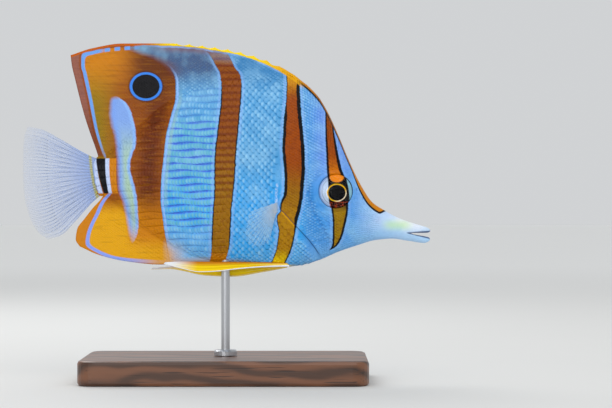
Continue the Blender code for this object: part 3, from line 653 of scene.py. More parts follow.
def round_the_body():
    """Distances over the skin from the fish's axis up or down, over a grid of x and z."""
    x = np.arange(-UNWRAP_HALF_LENGTH, UNWRAP_HALF_LENGTH + 0.1, UNWRAP_STEP_X)
    z = np.arange(-40, 52.1, UNWRAP_STEP_Z)
    half = body_half_thickness(*np.meshgrid(x, z, indexing="ij"), PLAIN_COAT, PLAIN_FIN_EDGE,
                               PLAIN_FIN_ROOT)
    steps = np.hypot(np.diff(half, axis=1), np.diff(z))
    gone = np.concatenate([np.zeros((len(x), 1)), np.cumsum(steps, axis=1)], axis=1)
    return x, z, gone - gone[:, [int(np.argmin(np.abs(z)))]]


def unwrap_place(x, z, left):
    """A place on the skin's unwrap: the right side in the map's lower half, the left in its upper.

    Across the map it is the place along the body, and up the map the way over the skin from the
    fish's axis, so the round back and belly take as much of the map as they have skin.
    """
    stops, heights, gone = UNWRAP
    column = np.clip((np.asarray(x) - stops[0]) / (stops[1] - stops[0]), 0, len(stops) - 1.001)
    row = np.clip((np.asarray(z) - heights[0]) / (heights[1] - heights[0]), 0, len(heights) - 1.001)
    c, r = column.astype(int), row.astype(int)
    right, up = column - c, row - r
    way = ((gone[c, r] * (1 - up) + gone[c, r + 1] * up) * (1 - right)
           + (gone[c + 1, r] * (1 - up) + gone[c + 1, r + 1] * up) * right)
    u = (np.asarray(x) + UNWRAP_HALF_LENGTH) / (2 * UNWRAP_HALF_LENGTH)
    v = np.clip((way + UNWRAP_BELOW) / UNWRAP_REACH, 0.01, 0.99) * 0.5
    return u, v + 0.5 * left


UNWRAP = round_the_body()


def add_side_unwrap(mesh):
    """Lays the skin's two sides out as a map, by how far round the body each place is."""
    count = len(mesh.loops)
    vertex = np.empty(count, np.int32)
    mesh.loops.foreach_get("vertex_index", vertex)
    place = np.empty(len(mesh.vertices) * 3)
    mesh.vertices.foreach_get("co", place)
    place = place.reshape(-1, 3) / MM
    starts = np.empty(len(mesh.polygons), np.int32)
    mesh.polygons.foreach_get("loop_start", starts)
    totals = np.empty(len(mesh.polygons), np.int32)
    mesh.polygons.foreach_get("loop_total", totals)
    side = place[:, 1] - bend(place[:, 0])
    face_side = np.add.reduceat(side[vertex], starts) > 0
    left = np.repeat(face_side, totals)
    u, v = unwrap_place(place[vertex, 0], place[vertex, 2] - AXIS_HEIGHT, left)
    layer = mesh.uv_layers.new(name="OFBake")
    layer.uv.foreach_set("vector", together(u, v).ravel())


# Shaders: a small language for node trees.


def arithmetic(operation, swapped=False):
    """A method that puts a value and another one together in a node."""
    def method(self, other):
        return self.graph.math(operation, *((other, self) if swapped else (self, other)))
    return method


class Wire:
    """A value in a shader tree; sums and products of wires add nodes."""

    def __init__(self, graph, socket):
        self.graph, self.socket = graph, socket

    __add__, __sub__, __mul__ = arithmetic("ADD"), arithmetic("SUBTRACT"), arithmetic("MULTIPLY")
    __rsub__, __truediv__ = arithmetic("SUBTRACT", True), arithmetic("DIVIDE")
    __radd__, __rmul__ = __add__, __mul__
    least, most = arithmetic("MINIMUM"), arithmetic("MAXIMUM")

    def __abs__(self):
        return self.graph.math("ABSOLUTE", self)

    def rise(self, start, end):
        """0 below start and 1 above end, with a smooth way between; start may be the larger."""
        made = self.graph.node("ShaderNodeMapRange", interpolation_type="SMOOTHSTEP")
        for socket, value in zip(made.inputs, (self, start, end, 0, 1)):
            self.graph.put(socket, value)
        return Wire(self.graph, made.outputs[0])

    def over(self, share, colour):
        """Lays a colour over this one, by its share."""
        self.socket = self.graph.mix(share, self, colour).socket

    def through(self, points):
        """Follows a curve through points."""
        (low, high), (bottom, top) = ((min(c), max(c)) for c in zip(*points))
        made = self.graph.node("ShaderNodeFloatCurve")
        places = sorted(((x - low) / (high - low), (y - bottom) / (top - bottom)) for x, y in points)
        curve = made.mapping.curves[0]
        curve.points[0].location, curve.points[1].location = places[0], places[-1]
        for place in places[1:-1]:
            curve.points.new(*place)
        for dot in curve.points:
            dot.handle_type = "AUTO_CLAMPED"
        made.mapping.update()
        into = self.graph.math("DIVIDE", self - low, high - low)
        into.socket.node.use_clamp = True
        self.graph.put(made.inputs["Value"], into)
        return Wire(self.graph, made.outputs[0]) * (top - bottom) + bottom


class Graph:
    """Adds nodes to a tree."""

    def __init__(self, tree):
        self.tree = tree

    def node(self, kind, **settings):
        made = self.tree.nodes.new(kind)
        for key, value in settings.items():
            setattr(made, key, value)
        return made

    def put(self, socket, value):
        if isinstance(value, Wire):
            self.tree.links.new(value.socket, socket)
        elif socket.type == "RGBA":
            socket.default_value = (*value[:3], 1)
        else:
            socket.default_value = value

    def fill(self, node, **values):
        """Sets a node's inputs by name, with _ for a space."""
        for name, value in values.items():
            self.put(node.inputs[name.replace("_", " ")], value)
        return node

    def math(self, operation, *values):
        made = self.node("ShaderNodeMath", operation=operation)
        for socket, value in zip(made.inputs, values):
            self.put(socket, value)
        return Wire(self, made.outputs[0])

    def mix(self, share, first, second, way="MIX"):
        """first where share is 0 and second where it is 1."""
        made = self.node("ShaderNodeMix", data_type="RGBA", blend_type=way)
        for socket, value in zip((made.inputs[0], made.inputs[6], made.inputs[7]),
                                 (share, first, second)):
            self.put(socket, value)
        return Wire(self, made.outputs[2])

    def object_place(self):
        return Wire(self, self.node("ShaderNodeTexCoord").outputs["Object"])

    def place(self):
        """x, y and z in the fish's own millimetres."""
        split = self.fill(self.node("ShaderNodeSeparateXYZ"), Vector=self.object_place())
        x, y, z = (Wire(self, s) * (1 / MM) for s in split.outputs)
        return x, y, z - AXIS_HEIGHT

    def noise(self, size, detail=2, stretch=(1, 1, 1)):
        """Cloudy values about 0.5, with features of a size in millimetres."""
        scaled = self.fill(self.node("ShaderNodeMapping"), Vector=self.object_place(), Scale=stretch)
        made = self.fill(self.node("ShaderNodeTexNoise"), Vector=Wire(self, scaled.outputs[0]),
                         Scale=1 / (size * MM), Detail=detail)
        return Wire(self, made.outputs["Fac"])

    def attribute(self, name, output="Fac"):
        return Wire(self, self.node("ShaderNodeAttribute", attribute_name=name).outputs[output])

    def own(self, name):
        """The two coordinates that a piece's points carry."""
        split = self.fill(self.node("ShaderNodeSeparateXYZ"), Vector=self.attribute(name, "Vector"))
        return Wire(self, split.outputs["X"]), Wire(self, split.outputs["Y"])

    def bump(self, height, distance, strength=1):
        made = self.fill(self.node("ShaderNodeBump"), Height=height, Strength=strength,
                         Distance=distance * MM)
        return Wire(self, made.outputs["Normal"])


WET_COAT = {"Coat Weight": 0.03, "Coat Roughness": 0.12, "Specular IOR Level": 0.17}


def new_material(name):
    """An empty material with a Principled shader, and a Graph to add to it."""
    made = bpy.data.materials.new(name)
    made.use_nodes = True
    graph = Graph(made.node_tree)
    return made, graph, made.node_tree.nodes["Principled BSDF"]


def line(distance, width, soft=0.18):
    """A soft-edged line of a width, by the distance from its middle."""
    return abs(distance).rise(width / 2 + soft, width / 2 - soft)


def far_off(aside, above):
    """How far off a place is, by its two distances."""
    return aside.graph.math("SQRT", aside * aside + above * above)


def between(low, value, high, soft):
    """1 between two limits, with soft edges."""
    return value.rise(low - soft, low + soft) * value.rise(high + soft, high - soft)


def pale_ground(g, c, x, z, across, along_scale, tone):
    """The blue-white body under the bars, with what each scale adds to it."""
    broad = g.noise(7, 3)
    ground = g.mix(z.rise(-12, 8), c.low_blue, c.pale_blue)
    ground.over(z.rise(-12, -25) * x.rise(4, -6) * 0.6, c.throat_blue)
    # Painted shade: darker towards the back, and purple-grey on the back between the last two bars.
    ground.over(z.rise(26, 42), c.shadow_blue)
    ground.over(z.rise(29, 41) * x.rise(1, -6), c.back_shade_purple)
    head = x.rise(27, 31)
    ground.over(head, c.head_blue)
    cheek = between(29, x, 38, 3.5) * between(-24, z, -4, 4)
    ground.over(cheek * 0.55, c.cheek_blue)
    forehead = x.rise(30, 36) * z.rise(-6, 8)
    ground.over(forehead * 0.75, c.forehead_lilac)
    ground.over(x.rise(45, 59), c.snout_white)
    ground.over(x.rise(56, 67), c.white)
    throat = (z - x.through(BELLY)).rise(7, 1) * x.rise(20, 28)
    ground.over(throat * 0.6, c.throat_blue)
    ground.over((broad - 0.5) * 1.6 + 0.12, c.lit_blue)
    # Each scale: a painted highlight in its middle, fainter towards the back, a deeper rim, and in the rear
    # rows a violet line between rows.
    rear = x.rise(2, -2)
    lines = rear * between(-19, z, 20.5, 2.5) * x.rise(-23, -19.5)
    rim = (abs(across) + (g.noise(1.2) - 0.5) * 0.5).rise(0.52, 0.88)
    middle = abs(across).rise(0.85, 0.1) * along_scale.rise(0.45, 0.8)
    scaled = x.rise(40, 27)
    teal = g.mix(lines * middle * 0.8, ground, c.teal)
    ground = g.mix((1 - rear) * scaled * rim * 0.55, teal, c.rim_blue)
    # The painted highlight in each scale's middle is fainter towards the back.
    high = z.rise(40, 28) * 0.85 + 0.15
    ground.over(scaled * middle * (tone * 0.55 + 0.15) * (1 - lines * 0.35) * high, c.lit_blue)
    ground.over(lines * rim * 0.8, c.violet)
    ground.over(rear * (1 - lines) * rim * 0.22, c.violet)
    return g.mix((1 - tone) * 0.16, ground, c.rim_blue)


def bar(g, colour, ground, c, x, rear, front, ragged, ink_rear, ink_front, halo, strength=1):
    """A coloured bar over the ground, with dark edges and a light halo outside."""
    from_rear, from_front = x - rear + ragged, front - x + ragged
    inside = from_rear.least(from_front)
    glow = inside.rise(-1.5, -0.5) * inside.rise(0.1, -0.4)
    ground.over(glow * halo * strength, c.halo_blue)
    colour.over(g.noise(1.2).rise(0.45, 0.72) * 0.34, c.rust)
    dark = (from_rear - ink_rear).least(from_front - ink_front).rise(0.16, -0.16)
    colour.over(dark, c.ink)
    return g.mix(inside.rise(-0.17, 0.17) * strength, ground, colour)


def stalk_mark(name, x, z, soft=0.2):
    """1 inside one of the tail stalk's slanted marks."""
    (top_rear, top_front), (low_rear, low_front) = STALK_MARKS[name]
    up = (z - STALK_BOTTOM) * (1 / (STALK_TOP - STALK_BOTTOM))
    sag = up * (1 - up) * -1.4
    rear = up * (top_rear - low_rear) + low_rear + sag
    front = up * (top_front - low_front) + low_front + sag
    return (x - rear).least(front - x).rise(-soft, soft)


def rear_colours(g, c, x, z, ragged):
    """The broad tail bar, the fins behind it and the pale patch, with the patch's share."""
    streaks = g.noise(0.7, 2, (0.08, 1, 1))
    rust = g.mix(g.noise(3.2, 3) * 1.3 - 0.25, c.rust, c.deep_rust)
    core = z.through([(-30, -28), (-5, -28.2), (15, -26.5), (30, -25), (48, -25)])
    deep = (abs(x - core) + (g.noise(5) - 0.5) * 3).rise(6.5, 0.5) * between(-12, z, 30, 8)
    broad = g.mix(deep * 0.9, c.copper, rust)
    broad.over(z.rise(-4, -20), c.amber)
    broad.over(z.rise(22, 40) * x.rise(-42, -28), c.rust_top)
    behind = g.mix(x.rise(-36, -49), c.copper, c.olive_gold)
    behind.over(z.rise(38, 14) * x.rise(-43, -49), c.olive)
    behind.over(z.rise(26, 44), c.amber)
    broad.over(x.rise(-30, -43) * z.rise(-6, 6), behind)
    anal = g.mix(x.rise(-30, -38), c.amber, c.gold)
    anal.over(z.rise(-22, -28) * x.rise(-38, -26), c.peach)
    broad.over(z.rise(-8, -15) * x.rise(-26, -35), anal)
    broad.over(z.rise(-21, -29), c.gold)
    broad.over(streaks.rise(0.5, 0.75) * 0.22, c.deep_rust)
    broad.over(streaks.rise(0.5, 0.3) * 0.14, c.peach)
    # The pale patch: lilac behind, creamy green in the middle, a light rim in front.
    from_rear, from_front = x - z.through(PATCH_REAR) + ragged, z.through(PATCH_FRONT) - x + ragged
    ends = (29.2 - z).least(z + 25.3)
    share = from_rear.rise(-0.9, 1.3) * from_front.rise(-0.35, 0.3) * ends.rise(-0.5, 1.6)
    inner = g.mix(from_rear.rise(0.2, 3.4), c.patch_lilac, c.patch_green)
    inner.over(z.rise(4, 22) * 0.9, c.patch_lilac)
    inner.over(from_front.rise(1.7, 0.5), c.halo_blue)
    return broad, inner, share * (z.rise(-25.5, -17) * 0.75 + 0.25)


def fin_line(g, x, z, rear_points, edge_points, below):
    """How far outside a fin's blue line a place is: the line's two runs meet in a round corner."""
    from_rear = z.through(rear_points) - x
    from_edge = x.through(edge_points) - z if below else z - x.through(edge_points)
    return g.math("SMOOTH_MAX", from_rear, from_edge, LINE_CORNER)


def markings_group(c):
    """The node group that paints the whole fish, shared by its skin, scales and rays."""
    tree = bpy.data.node_groups.new("Copperband markings", "ShaderNodeTree")
    for name, default in (("Across", 0), ("Along", 0.6), ("Tone", 0.5)):
        tree.interface.new_socket(name=name, in_out="INPUT",
                                  socket_type="NodeSocketFloat").default_value = default
    tree.interface.new_socket(name="Colour", in_out="OUTPUT", socket_type="NodeSocketColor")
    g = Graph(tree)
    given = g.node("NodeGroupInput")
    across, along_scale, tone = (Wire(g, given.outputs[n]) for n in ("Across", "Along", "Tone"))
    x, y, z = g.place()
    ragged = (g.noise(0.8, 1) - 0.5) * 0.5 + (g.noise(3, 1) - 0.5) * 0.35
    colour = pale_ground(g, c, x, z, across, along_scale, tone)
    stripes = g.math("SINE", (z - ROW_EDGE) * (2 * math.pi / ROW_PITCH)).rise(-0.4, 1)

    # The middle bar.
    copper = g.mix(z.rise(-6, 20), c.ochre, c.copper)
    copper.over(z.rise(38, 45), c.ochre)
    copper.over(z.rise(-26, -31), c.amber)
    copper.over(stripes * z.rise(-14, -2) * 0.7, c.rust)
    fade = z.rise(47, 39) * 0.65 + 0.35
    ink = between(-26, z, 33, 4) * 0.42
    colour = bar(g, copper, colour, c, x, z.through(MIDDLE_BAR_REAR), z.through(MIDDLE_BAR_FRONT),
                 ragged, ink, ink, 0.55, fade)

    # The bar behind the gills, which steps back where the gill opening crosses it.
    fiery = g.mix(z.rise(-8, 6), c.ochre, c.ember)
    fiery.over(z.rise(27, 38) * 0.8, c.gold)
    fiery.over(z.rise(-8, -15), c.gill_gold)
    fiery.over(z.rise(-26, -33), c.yellow)
    gill = x - z.through(GILL_LINE)
    below_gill = gill.rise(0.3, -0.3) * z.rise(-12, -14)
    fiery.over(below_gill * gill.rise(-1.3, -0.5), c.gold)
    ink_rear = between(-10, z, 24, 3) * 0.75 + 0.3
    ink_front = between(-18, z, 34, 3) * 0.8 + 0.5
    top = z.rise(39.5, 36.5)
    colour = bar(g, fiery, colour, c, x, z.through(GILL_BAR_REAR), z.through(GILL_BAR_FRONT),
                 ragged, ink_rear * top, ink_front * top, 0.6)
    glint = line(gill + 0.9, 1, 0.3) * between(-12.5, z, -3, 1) * g.noise(0.6, 1).rise(0.36, 0.62)
    colour.over(glint * 0.5, c.white)
    # Painted shade along the slit of the gill opening.
    slit = line(gill, 0.34, 0.12) * between(-28.5, z, -11, 1)
    colour.over(slit * 0.75, c.slit_blue)

    # The bar through the eye.
    upper = g.mix(z.rise(-2, 9), c.bright_orange, c.ember)
    upper.over(z.rise(12, 24), c.copper)
    lower = g.mix(z.rise(-10, -13.5), c.umber, c.olive_gold)
    through_eye = g.mix(z.rise(-4, -7), upper, lower)
    ink_rear = z.rise(24, 6) * 0.35 + 0.45
    ink_front = z.rise(22, 2) * 0.75 + 0.4
    thin_below = z.rise(-9, -12) * 0.35
    colour = bar(g, through_eye, colour, c, x, z.through(EYE_BAR_REAR), z.through(EYE_BAR_FRONT),
                 ragged * 0.7, ink_rear - thin_below * 0.4, ink_front - thin_below, 0.4,
                 z.rise(-27.4, -26.8))

    # The line down the middle of the snout and forehead, amber between dark edges.
    under_ridge = x.through(BACK) - z
    square = under_ridge * (x.rise(44, 60) * 0.42 + 0.45)
    ridge, narrow = square + x.rise(56, 59.5) * 2.2, x.rise(50.5, 45.5)
    on_head = x.rise(25.5, 28)
    colour.over((ridge + narrow * 1.2).rise(2.15, 1.85) * on_head, c.ink)
    colour.over((ridge + narrow * 0.95).rise(1.5, 1.2) * on_head, c.amber)
    forehead_edge = abs(y).rise(1.3, 0.8) * under_ridge.rise(3, 2) * between(33, x, 46, 1)
    colour.over(forehead_edge * 0.9, c.copper)
    tint = between(58.5, x, 67.5, 2.5) * between(-19.5, z, -16.5, 1.5)
    colour.over(tint * 0.42, c.lime)
    # Painted shade along the gap between the jaws.
    gape_shade = (x - MOUTH_X) * 0.16 + 0.3 - abs(z - UPPER_JAW[0][2] + (x - MOUTH_X) * 0.0875)
    colour.over(gape_shade.rise(-0.15, 0.2) * x.rise(66, 67) * 0.8, c.slit_blue)

    # Everything behind the last white field.
    broad, patch_colour, patch_share = rear_colours(g, c, x, z, ragged)
    front = z.through(TAIL_BAR_FRONT)
    from_front = front - x + ragged * 0.6
    soft_top = z.rise(33, 43)
    edge_line = line(from_front + 0.75, 0.75, 0.2) * (1 - soft_top) * z.rise(-27, -21)
    green = between(1.2, x - front, 2.4, 0.6) * between(-12, z, 30, 5)
    colour.over(green * 0.4, c.patch_green)
    colour.over(edge_line, c.halo_blue)
    colour.over(line(from_front - 0.1, 0.3, 0.15) * (1 - soft_top) * 0.7, c.purple_ink)
    share = g.mix(soft_top, from_front.rise(-0.15, 0.15), from_front.rise(-6, 3.5))
    share.over(z.rise(-20, -28), from_front.rise(-3, 3))
    colour.over(share, broad)
    pink = z.rise(-22, -29.5) * between(-26, x, -17, 5)
    colour.over(pink * 0.7, c.peach)
    colour.over(patch_share * x.rise(-27, -30), patch_colour)

    # The eye-spot: black, in a blue ring with a dark halo.
    aside, above = x - OCELLUS[0], z - OCELLUS[1]
    spot = [far_off(aside / wide, above / high) for wide, high in (OCELLUS_RING, OCELLUS_BLACK)]
    colour.over(spot[0].rise(1.16, 0.98) * 0.8, c.umber)
    colour.over(spot[0].rise(1.03, 0.96), c.ring_blue)
    colour.over(spot[1].rise(1.03, 0.97), c.ink)

    # The fins' margins behind their blue lines.
    dorsal_out = fin_line(g, x, z, DORSAL_LINE_REAR, DORSAL_LINE_EDGE, False)
    in_dorsal = z.rise(6, 8) * x.rise(-30, -35)
    margin = g.mix(g.noise(1.4, 2, (0.2, 1, 3)) * 1.4 - 0.2, c.margin_pink, c.margin_mauve)
    margin.over(dorsal_out.rise(1.9, 0.5), c.copper)
    margin.over(z.rise(30, 12) * 0.55, c.rust_top)
    colour.over(dorsal_out.rise(0.2, 0.7) * in_dorsal, margin)
    dashes = g.math("SINE", x * 1.7).rise(-0.6, 0.3).most(x.rise(-43, -47))
    blue_width = z.rise(8, 34) * 0.45 + 0.7
    blue_line = abs(dorsal_out).rise(blue_width * 0.5 + 0.3, blue_width * 0.5 - 0.15)
    colour.over(blue_line * in_dorsal * dashes, c.line_blue)
    anal_out = fin_line(g, x, z, ANAL_LINE_REAR, ANAL_LINE_EDGE, True)
    in_anal = z.rise(-6, -7.2) * x.rise(-12, -30)
    colour.over(anal_out.rise(0.2, 0.8) * in_anal, c.amber)
    fading = x.rise(-18, -40)
    colour.over(line(anal_out, 1.4, 0.25) * in_anal * fading, c.line_lilac)

    # The tail stalk.
    in_stalk = between(STALK_BOTTOM, z, STALK_TOP, 0.15) * x.rise(-37.5, -38.5)
    tail_white = in_stalk * x.rise(-46.5, -48)
    colour.over(tail_white, c.tail_white)
    for name, paint in (("orange", c.amber), ("white_before", c.stalk_white),
                        ("white_behind", c.stalk_white), ("yellow", c.stalk_yellow), ("black", c.ink)):
        colour.over(stalk_mark(name, x, z) * in_stalk, paint)

    # The yellow edge of the spiny dorsal fin, over a thin white line.
    from_back = under_ridge + (g.noise(2.2, 1) - 0.5) * 0.5
    on_back = between(-33, x, 27.5, 2)
    depth = x.through([(-33, 0.5), (-20, 0.9), (-5, 1.2), (8, 1.35), (20, 1.9), (28, 2.6)])
    pale_line = between(-26, x, 22, 3)
    colour.over(from_back.rise(4.2, 1.5) * between(-24, x, -4, 6) * 0.6, c.margin_mauve)
    patchy = g.noise(4, 1).rise(0.38, 0.6) * 0.6 + 0.1
    colour.over(line(from_back - depth - 0.4, 0.5, 0.3) * pale_line * patchy, c.halo_blue)
    gold_edge = g.mix(x.rise(8, 24), c.yellow, c.gold)
    gold_edge.over(x.rise(-18, -30), c.orange_pink)
    colour.over((depth - from_back).rise(-0.25, 0.25) * on_back, gold_edge)
    rear_edge_tint = (0.9 - under_ridge).rise(-0.2, 0.3) * x.rise(-29, -34)
    colour.over(rear_edge_tint, c.orange_pink)

    # A warm edge along the belly between the fins.
    over_belly = z - x.through(BELLY)
    colour.over(over_belly.rise(2.6, 0.4) * between(-26, x, 10, 5) * 0.4, c.peach)
    colour.over(over_belly.rise(1.2, 0.3) * between(14, x, 24, 3), c.yellow)

    vivid = g.fill(g.node("ShaderNodeHueSaturation"), Saturation=1.16, Value=1.03, Color=colour)
    g.fill(g.node("NodeGroupOutput"), Colour=Wire(g, vivid.outputs[0]))
    return tree


def painted(g, group, across=0, along_scale=0.6, tone=0.5):
    """The markings' colour, with a scale's own coordinates where there are any."""
    made = g.fill(g.node("ShaderNodeGroup", node_tree=group), Across=across, Along=along_scale, Tone=tone)
    return Wire(g, made.outputs["Colour"])


def shared_markings():
    """The markings group, made once."""
    found = bpy.data.node_groups.get("Copperband markings")
    return found or markings_group(bpy.context.scene.reef_colours)


def skin_material():
    made, g, shader = new_material("wet skin")
    g.fill(shader, Base_Color=painted(g, shared_markings(), 0.55, 0.5, g.noise(1.1, 1)),
           Normal=g.bump(g.noise(0.35, 3) * 0.6 + g.noise(1.3), 0.05, 0.8),
           Roughness=g.noise(2) * 0.2 + 0.26, **WET_COAT)
    return made


def scale_material():
    made, g, shader = new_material("fish scale")
    along_scale, across = g.own("on_scale")
    across = across * 2
    tone = g.attribute("tone")
    growth = along_scale * along_scale + across * across * 0.2
    ridges = g.math("SINE", growth * 26) * 0.3
    g.fill(shader, Base_Color=painted(g, shared_markings(), across, along_scale, tone),
           Normal=g.bump(ridges + g.noise(0.3), 0.02, 0.6), Roughness=tone * 0.14 + 0.27, **WET_COAT)
    return made


# Geometry Nodes.


def socket_named(node, name, outputs=False):
    """The node's live socket of that name."""
    return next(s for s in (node.outputs if outputs else node.inputs) if s.name == name and s.enabled)


class Tree:
    """A Geometry Nodes tree with named inputs, built node by node."""

    def __init__(self, name, inputs):
        self.tree = bpy.data.node_groups.new(name, "GeometryNodeTree")
        face = self.tree.interface
        face.new_socket(name="Geometry", in_out="INPUT", socket_type="NodeSocketGeometry")
        for label, kind in inputs:
            face.new_socket(name=label, in_out="INPUT", socket_type=kind)
        face.new_socket(name="Geometry", in_out="OUTPUT", socket_type="NodeSocketGeometry")
        self.source = self.tree.nodes.new("NodeGroupInput")
        self.sink = self.tree.nodes.new("NodeGroupOutput")

    def add(self, kind, links=(), values=(), **settings):
        made = self.tree.nodes.new(kind)
        for key, value in settings.items():
            setattr(made, key, value)
        for name, (node, output) in dict(links).items():
            self.tree.links.new(socket_named(node, output, True), socket_named(made, name))
        for name, value in dict(values).items():
            socket_named(made, name).default_value = value
        return made

    def field(self, name, kind="FLOAT_VECTOR"):
        """A named attribute, as what a link starts from."""
        made = self.add("GeometryNodeInputNamedAttribute", values={"Name": name}, data_type=kind)
        return made, "Attribute"

    def maths(self, kind, operation, *parts):
        """Sockets and numbers put together, in the order of the node's inputs."""
        made = self.add(kind, operation=operation)
        for socket, part in zip(made.inputs, parts):
            if isinstance(part, tuple):
                self.tree.links.new(socket_named(*part, True), socket)
            else:
                socket.default_value = part
        return made

    def end(self, node, output="Geometry"):
        self.tree.links.new(socket_named(node, output, True), self.sink.inputs["Geometry"])
        return self.tree


def shape_tree():
    """Sets a scale on every point, tilts it, and gives each its own patch of the bake's map."""
    t = Tree("Lay scales", (("Scale Shape", "NodeSocketObject"), ("Lift", "NodeSocketFloat"),
                            ("Unevenness", "NodeSocketFloat"), ("Map Patch", "NodeSocketFloat"),
                            ("Seed", "NodeSocketInt"), ("Material", "NodeSocketMaterial")))
    shape = t.add("GeometryNodeObjectInfo", {"Object": (t.source, "Scale Shape")})
    laid = t.add("GeometryNodeInstanceOnPoints", {
        "Points": (t.source, "Geometry"), "Instance": (shape, "Geometry"),
        "Rotation": t.field("facing"), "Scale": t.field("size")})
    spread = t.add("FunctionNodeRandomValue", {"Seed": (t.source, "Seed")}, {"Min": -1, "Max": 1})
    uneven = t.maths("ShaderNodeMath", "MULTIPLY_ADD", (spread, "Value"), (t.source, "Unevenness"),
                     (t.source, "Lift"))
    down = t.maths("ShaderNodeMath", "MULTIPLY", (uneven, "Value"), -1)
    tilt = t.add("ShaderNodeCombineXYZ", {"Y": (down, "Value")})
    tilted = t.add("GeometryNodeRotateInstances", {"Instances": (laid, "Instances"),
                                                   "Rotation": (tilt, "Vector")})
    real = t.add("GeometryNodeRealizeInstances", {"Geometry": (tilted, "Instances")})
    spot = t.maths("ShaderNodeVectorMath", "MULTIPLY_ADD", t.field("on_scale"), (t.source, "Map Patch"),
                   t.field("map_root"))
    mapped = t.add("GeometryNodeStoreNamedAttribute", {"Geometry": (real, "Geometry"),
                   "Value": (spot, "Vector")}, {"Name": "OFBake"}, data_type="FLOAT2", domain="CORNER")
    dressed = t.add("GeometryNodeSetMaterial", {"Geometry": (mapped, "Geometry"),
                                                "Material": (t.source, "Material")})
    return t.end(dressed)


def ray_tree():
    """Turns lines into round rods, as thick as their points say."""
    t = Tree("Round the rays", (("Sides", "NodeSocketInt"), ("Material", "NodeSocketMaterial")))
    curve = t.add("GeometryNodeMeshToCurve", {"Mesh": (t.source, "Geometry")})
    sized = t.add("GeometryNodeSetCurveRadius", {"Curve": (curve, "Curve"),
                                                 "Radius": t.field("thick", "FLOAT")})
    round_ = t.add("GeometryNodeCurvePrimitiveCircle", {"Resolution": (t.source, "Sides")},
                   {"Radius": 1})
    rods = t.add("GeometryNodeCurveToMesh", {
        "Curve": (sized, "Curve"), "Profile Curve": (round_, "Curve"),
        "Scale": (t.add("GeometryNodeInputRadius"), "Radius")}, {"Fill Caps": True})
    real = t.add("GeometryNodeRealizeInstances", {"Geometry": (rods, "Mesh")})
    dressed = t.add("GeometryNodeSetMaterial", {"Geometry": (real, "Geometry"),
                                                "Material": (t.source, "Material")})
    return t.end(dressed)


def shared_tree(name, build):
    return bpy.data.node_groups.get(name) or build()


def grown(name, seed_mesh, tree, values):
    """The plain mesh that a tree makes from a seed mesh."""
    seed = bpy.data.objects.new(name + "_seed", seed_mesh)
    bpy.context.scene.collection.objects.link(seed)
    modifier = seed.modifiers.new("nodes", "NODES")
    modifier.node_group = tree
    for item in tree.interface.items_tree:
        if item.item_type == "SOCKET" and item.in_out == "INPUT" and item.name in values:
            modifier[item.identifier] = values[item.name]
    bpy.context.view_layer.update()
    graph = bpy.context.evaluated_depsgraph_get()
    mesh = bpy.data.meshes.new_from_object(seed.evaluated_get(graph), preserve_all_data_layers=True,
                                           depsgraph=graph)
    mesh.name = name
    mesh.shade_smooth()
    bpy.data.objects.remove(seed)
    return mesh


def add_rods(name, lines, material, sides=None):
    """A piece of round rods along the lines."""
    values = {"Sides": sides or bpy.context.scene.reef_fins.ray_sides, "Material": material}
    mesh = grown(name, ray_mesh(name, lines), shared_tree("Round the rays", ray_tree), values)
    add_piece(name, mesh, material)


# Scales.


def scale_shape(name, steps_along, steps_across, thickness, dome):
    """One scale of unit length and height, rooted at the origin, with its tip along +X."""
    rows = []
    for u in np.linspace(0, 1, steps_along + 1):
        width = math.sqrt(max(1 - max((u - 0.45) / 0.55, 0) ** 2, 0)) if u > 0.45 else 1
        width *= 0.80 + 0.20 * min(u / 0.45, 1)
        v = np.linspace(-0.5, 0.5, steps_across + 1) * max(width, 0.18)
        crown = 1 - np.linspace(-1, 1, steps_across + 1) ** 2
        z = dome * crown * (0.4 + 0.6 * u) - 0.3 * dome * u ** 3
        rows.append(together(u, v, z))
    top = np.array(rows).reshape(-1, 3)
    columns = steps_across + 1
    faces = grid_faces(steps_along + 1, columns)
    edge, rim = rim_faces(steps_along + 1, columns, lambda rim: [len(top) + k for k in range(len(rim))])
    points = np.concatenate([top, top[rim] - np.array([0, 0, thickness])])
    faces += edge + [tuple(range(len(top), len(points)))]
    mesh = make_mesh(name, points * np.array([1, 1, MM]), faces)
    store(mesh, "on_scale", points * np.array([1, 1, 0]))
    return bpy.data.objects.new(name, mesh)


def surface_frame(x, z, side, skin, lie_angle):
    """Place, normal and the backward direction on the skin, as unit vectors, for many places."""
    step = 0.05
    half = skin_half(x, z, skin)
    slope_x = (skin_half(x + step, z, skin) - skin_half(x - step, z, skin)) / (2 * step)
    slope_z = (skin_half(x, z + step, skin) - skin_half(x, z - step, skin)) / (2 * step)
    slope_x, slope_z = np.clip(slope_x, -2, 2), np.clip(slope_z, -3.5, 3.5)
    sway = bend_slope(x)
    normal = together(-side * sway - slope_x, side, -slope_z)
    normal /= np.linalg.norm(normal, axis=1)[:, None]
    back_x, back_z = -np.cos(lie_angle), -np.sin(lie_angle)
    lie = together(back_x, side * (slope_x * back_x + slope_z * back_z) + sway * back_x, back_z)
    lie /= np.linalg.norm(lie, axis=1)[:, None]
    return world(x, side * half, z), normal, lie


def turned(lie, normal):
    """Euler angles that turn X along the lie and Z along the normal."""
    beside = np.cross(normal, lie)
    pitch = np.arcsin(np.clip(-lie[:, 2], -1, 1))
    roll = np.arctan2(beside[:, 2], normal[:, 2])
    yaw = np.arctan2(lie[:, 1], lie[:, 0])
    return together(roll, pitch, yaw)


def seed_points(name, x, z, side, size, tone, skin):
    """A mesh of points that say where each scale sits, how it lies and how large it is."""
    place, normal, lie = surface_frame(x, z, side, skin, lie_slope(x, z))
    mesh = bpy.data.meshes.new(name)
    mesh.from_pydata((place - normal * 0.05 * MM).tolist(), [], [])
    u, v = unwrap_place(x, z, side > 0)
    store(mesh, "facing", turned(lie, normal))
    store(mesh, "size", together(size[0] * MM, size[1] * MM, np.ones_like(u)))
    store(mesh, "map_root", together(u, v, 0))
    store(mesh, "tone", tone)
    return mesh


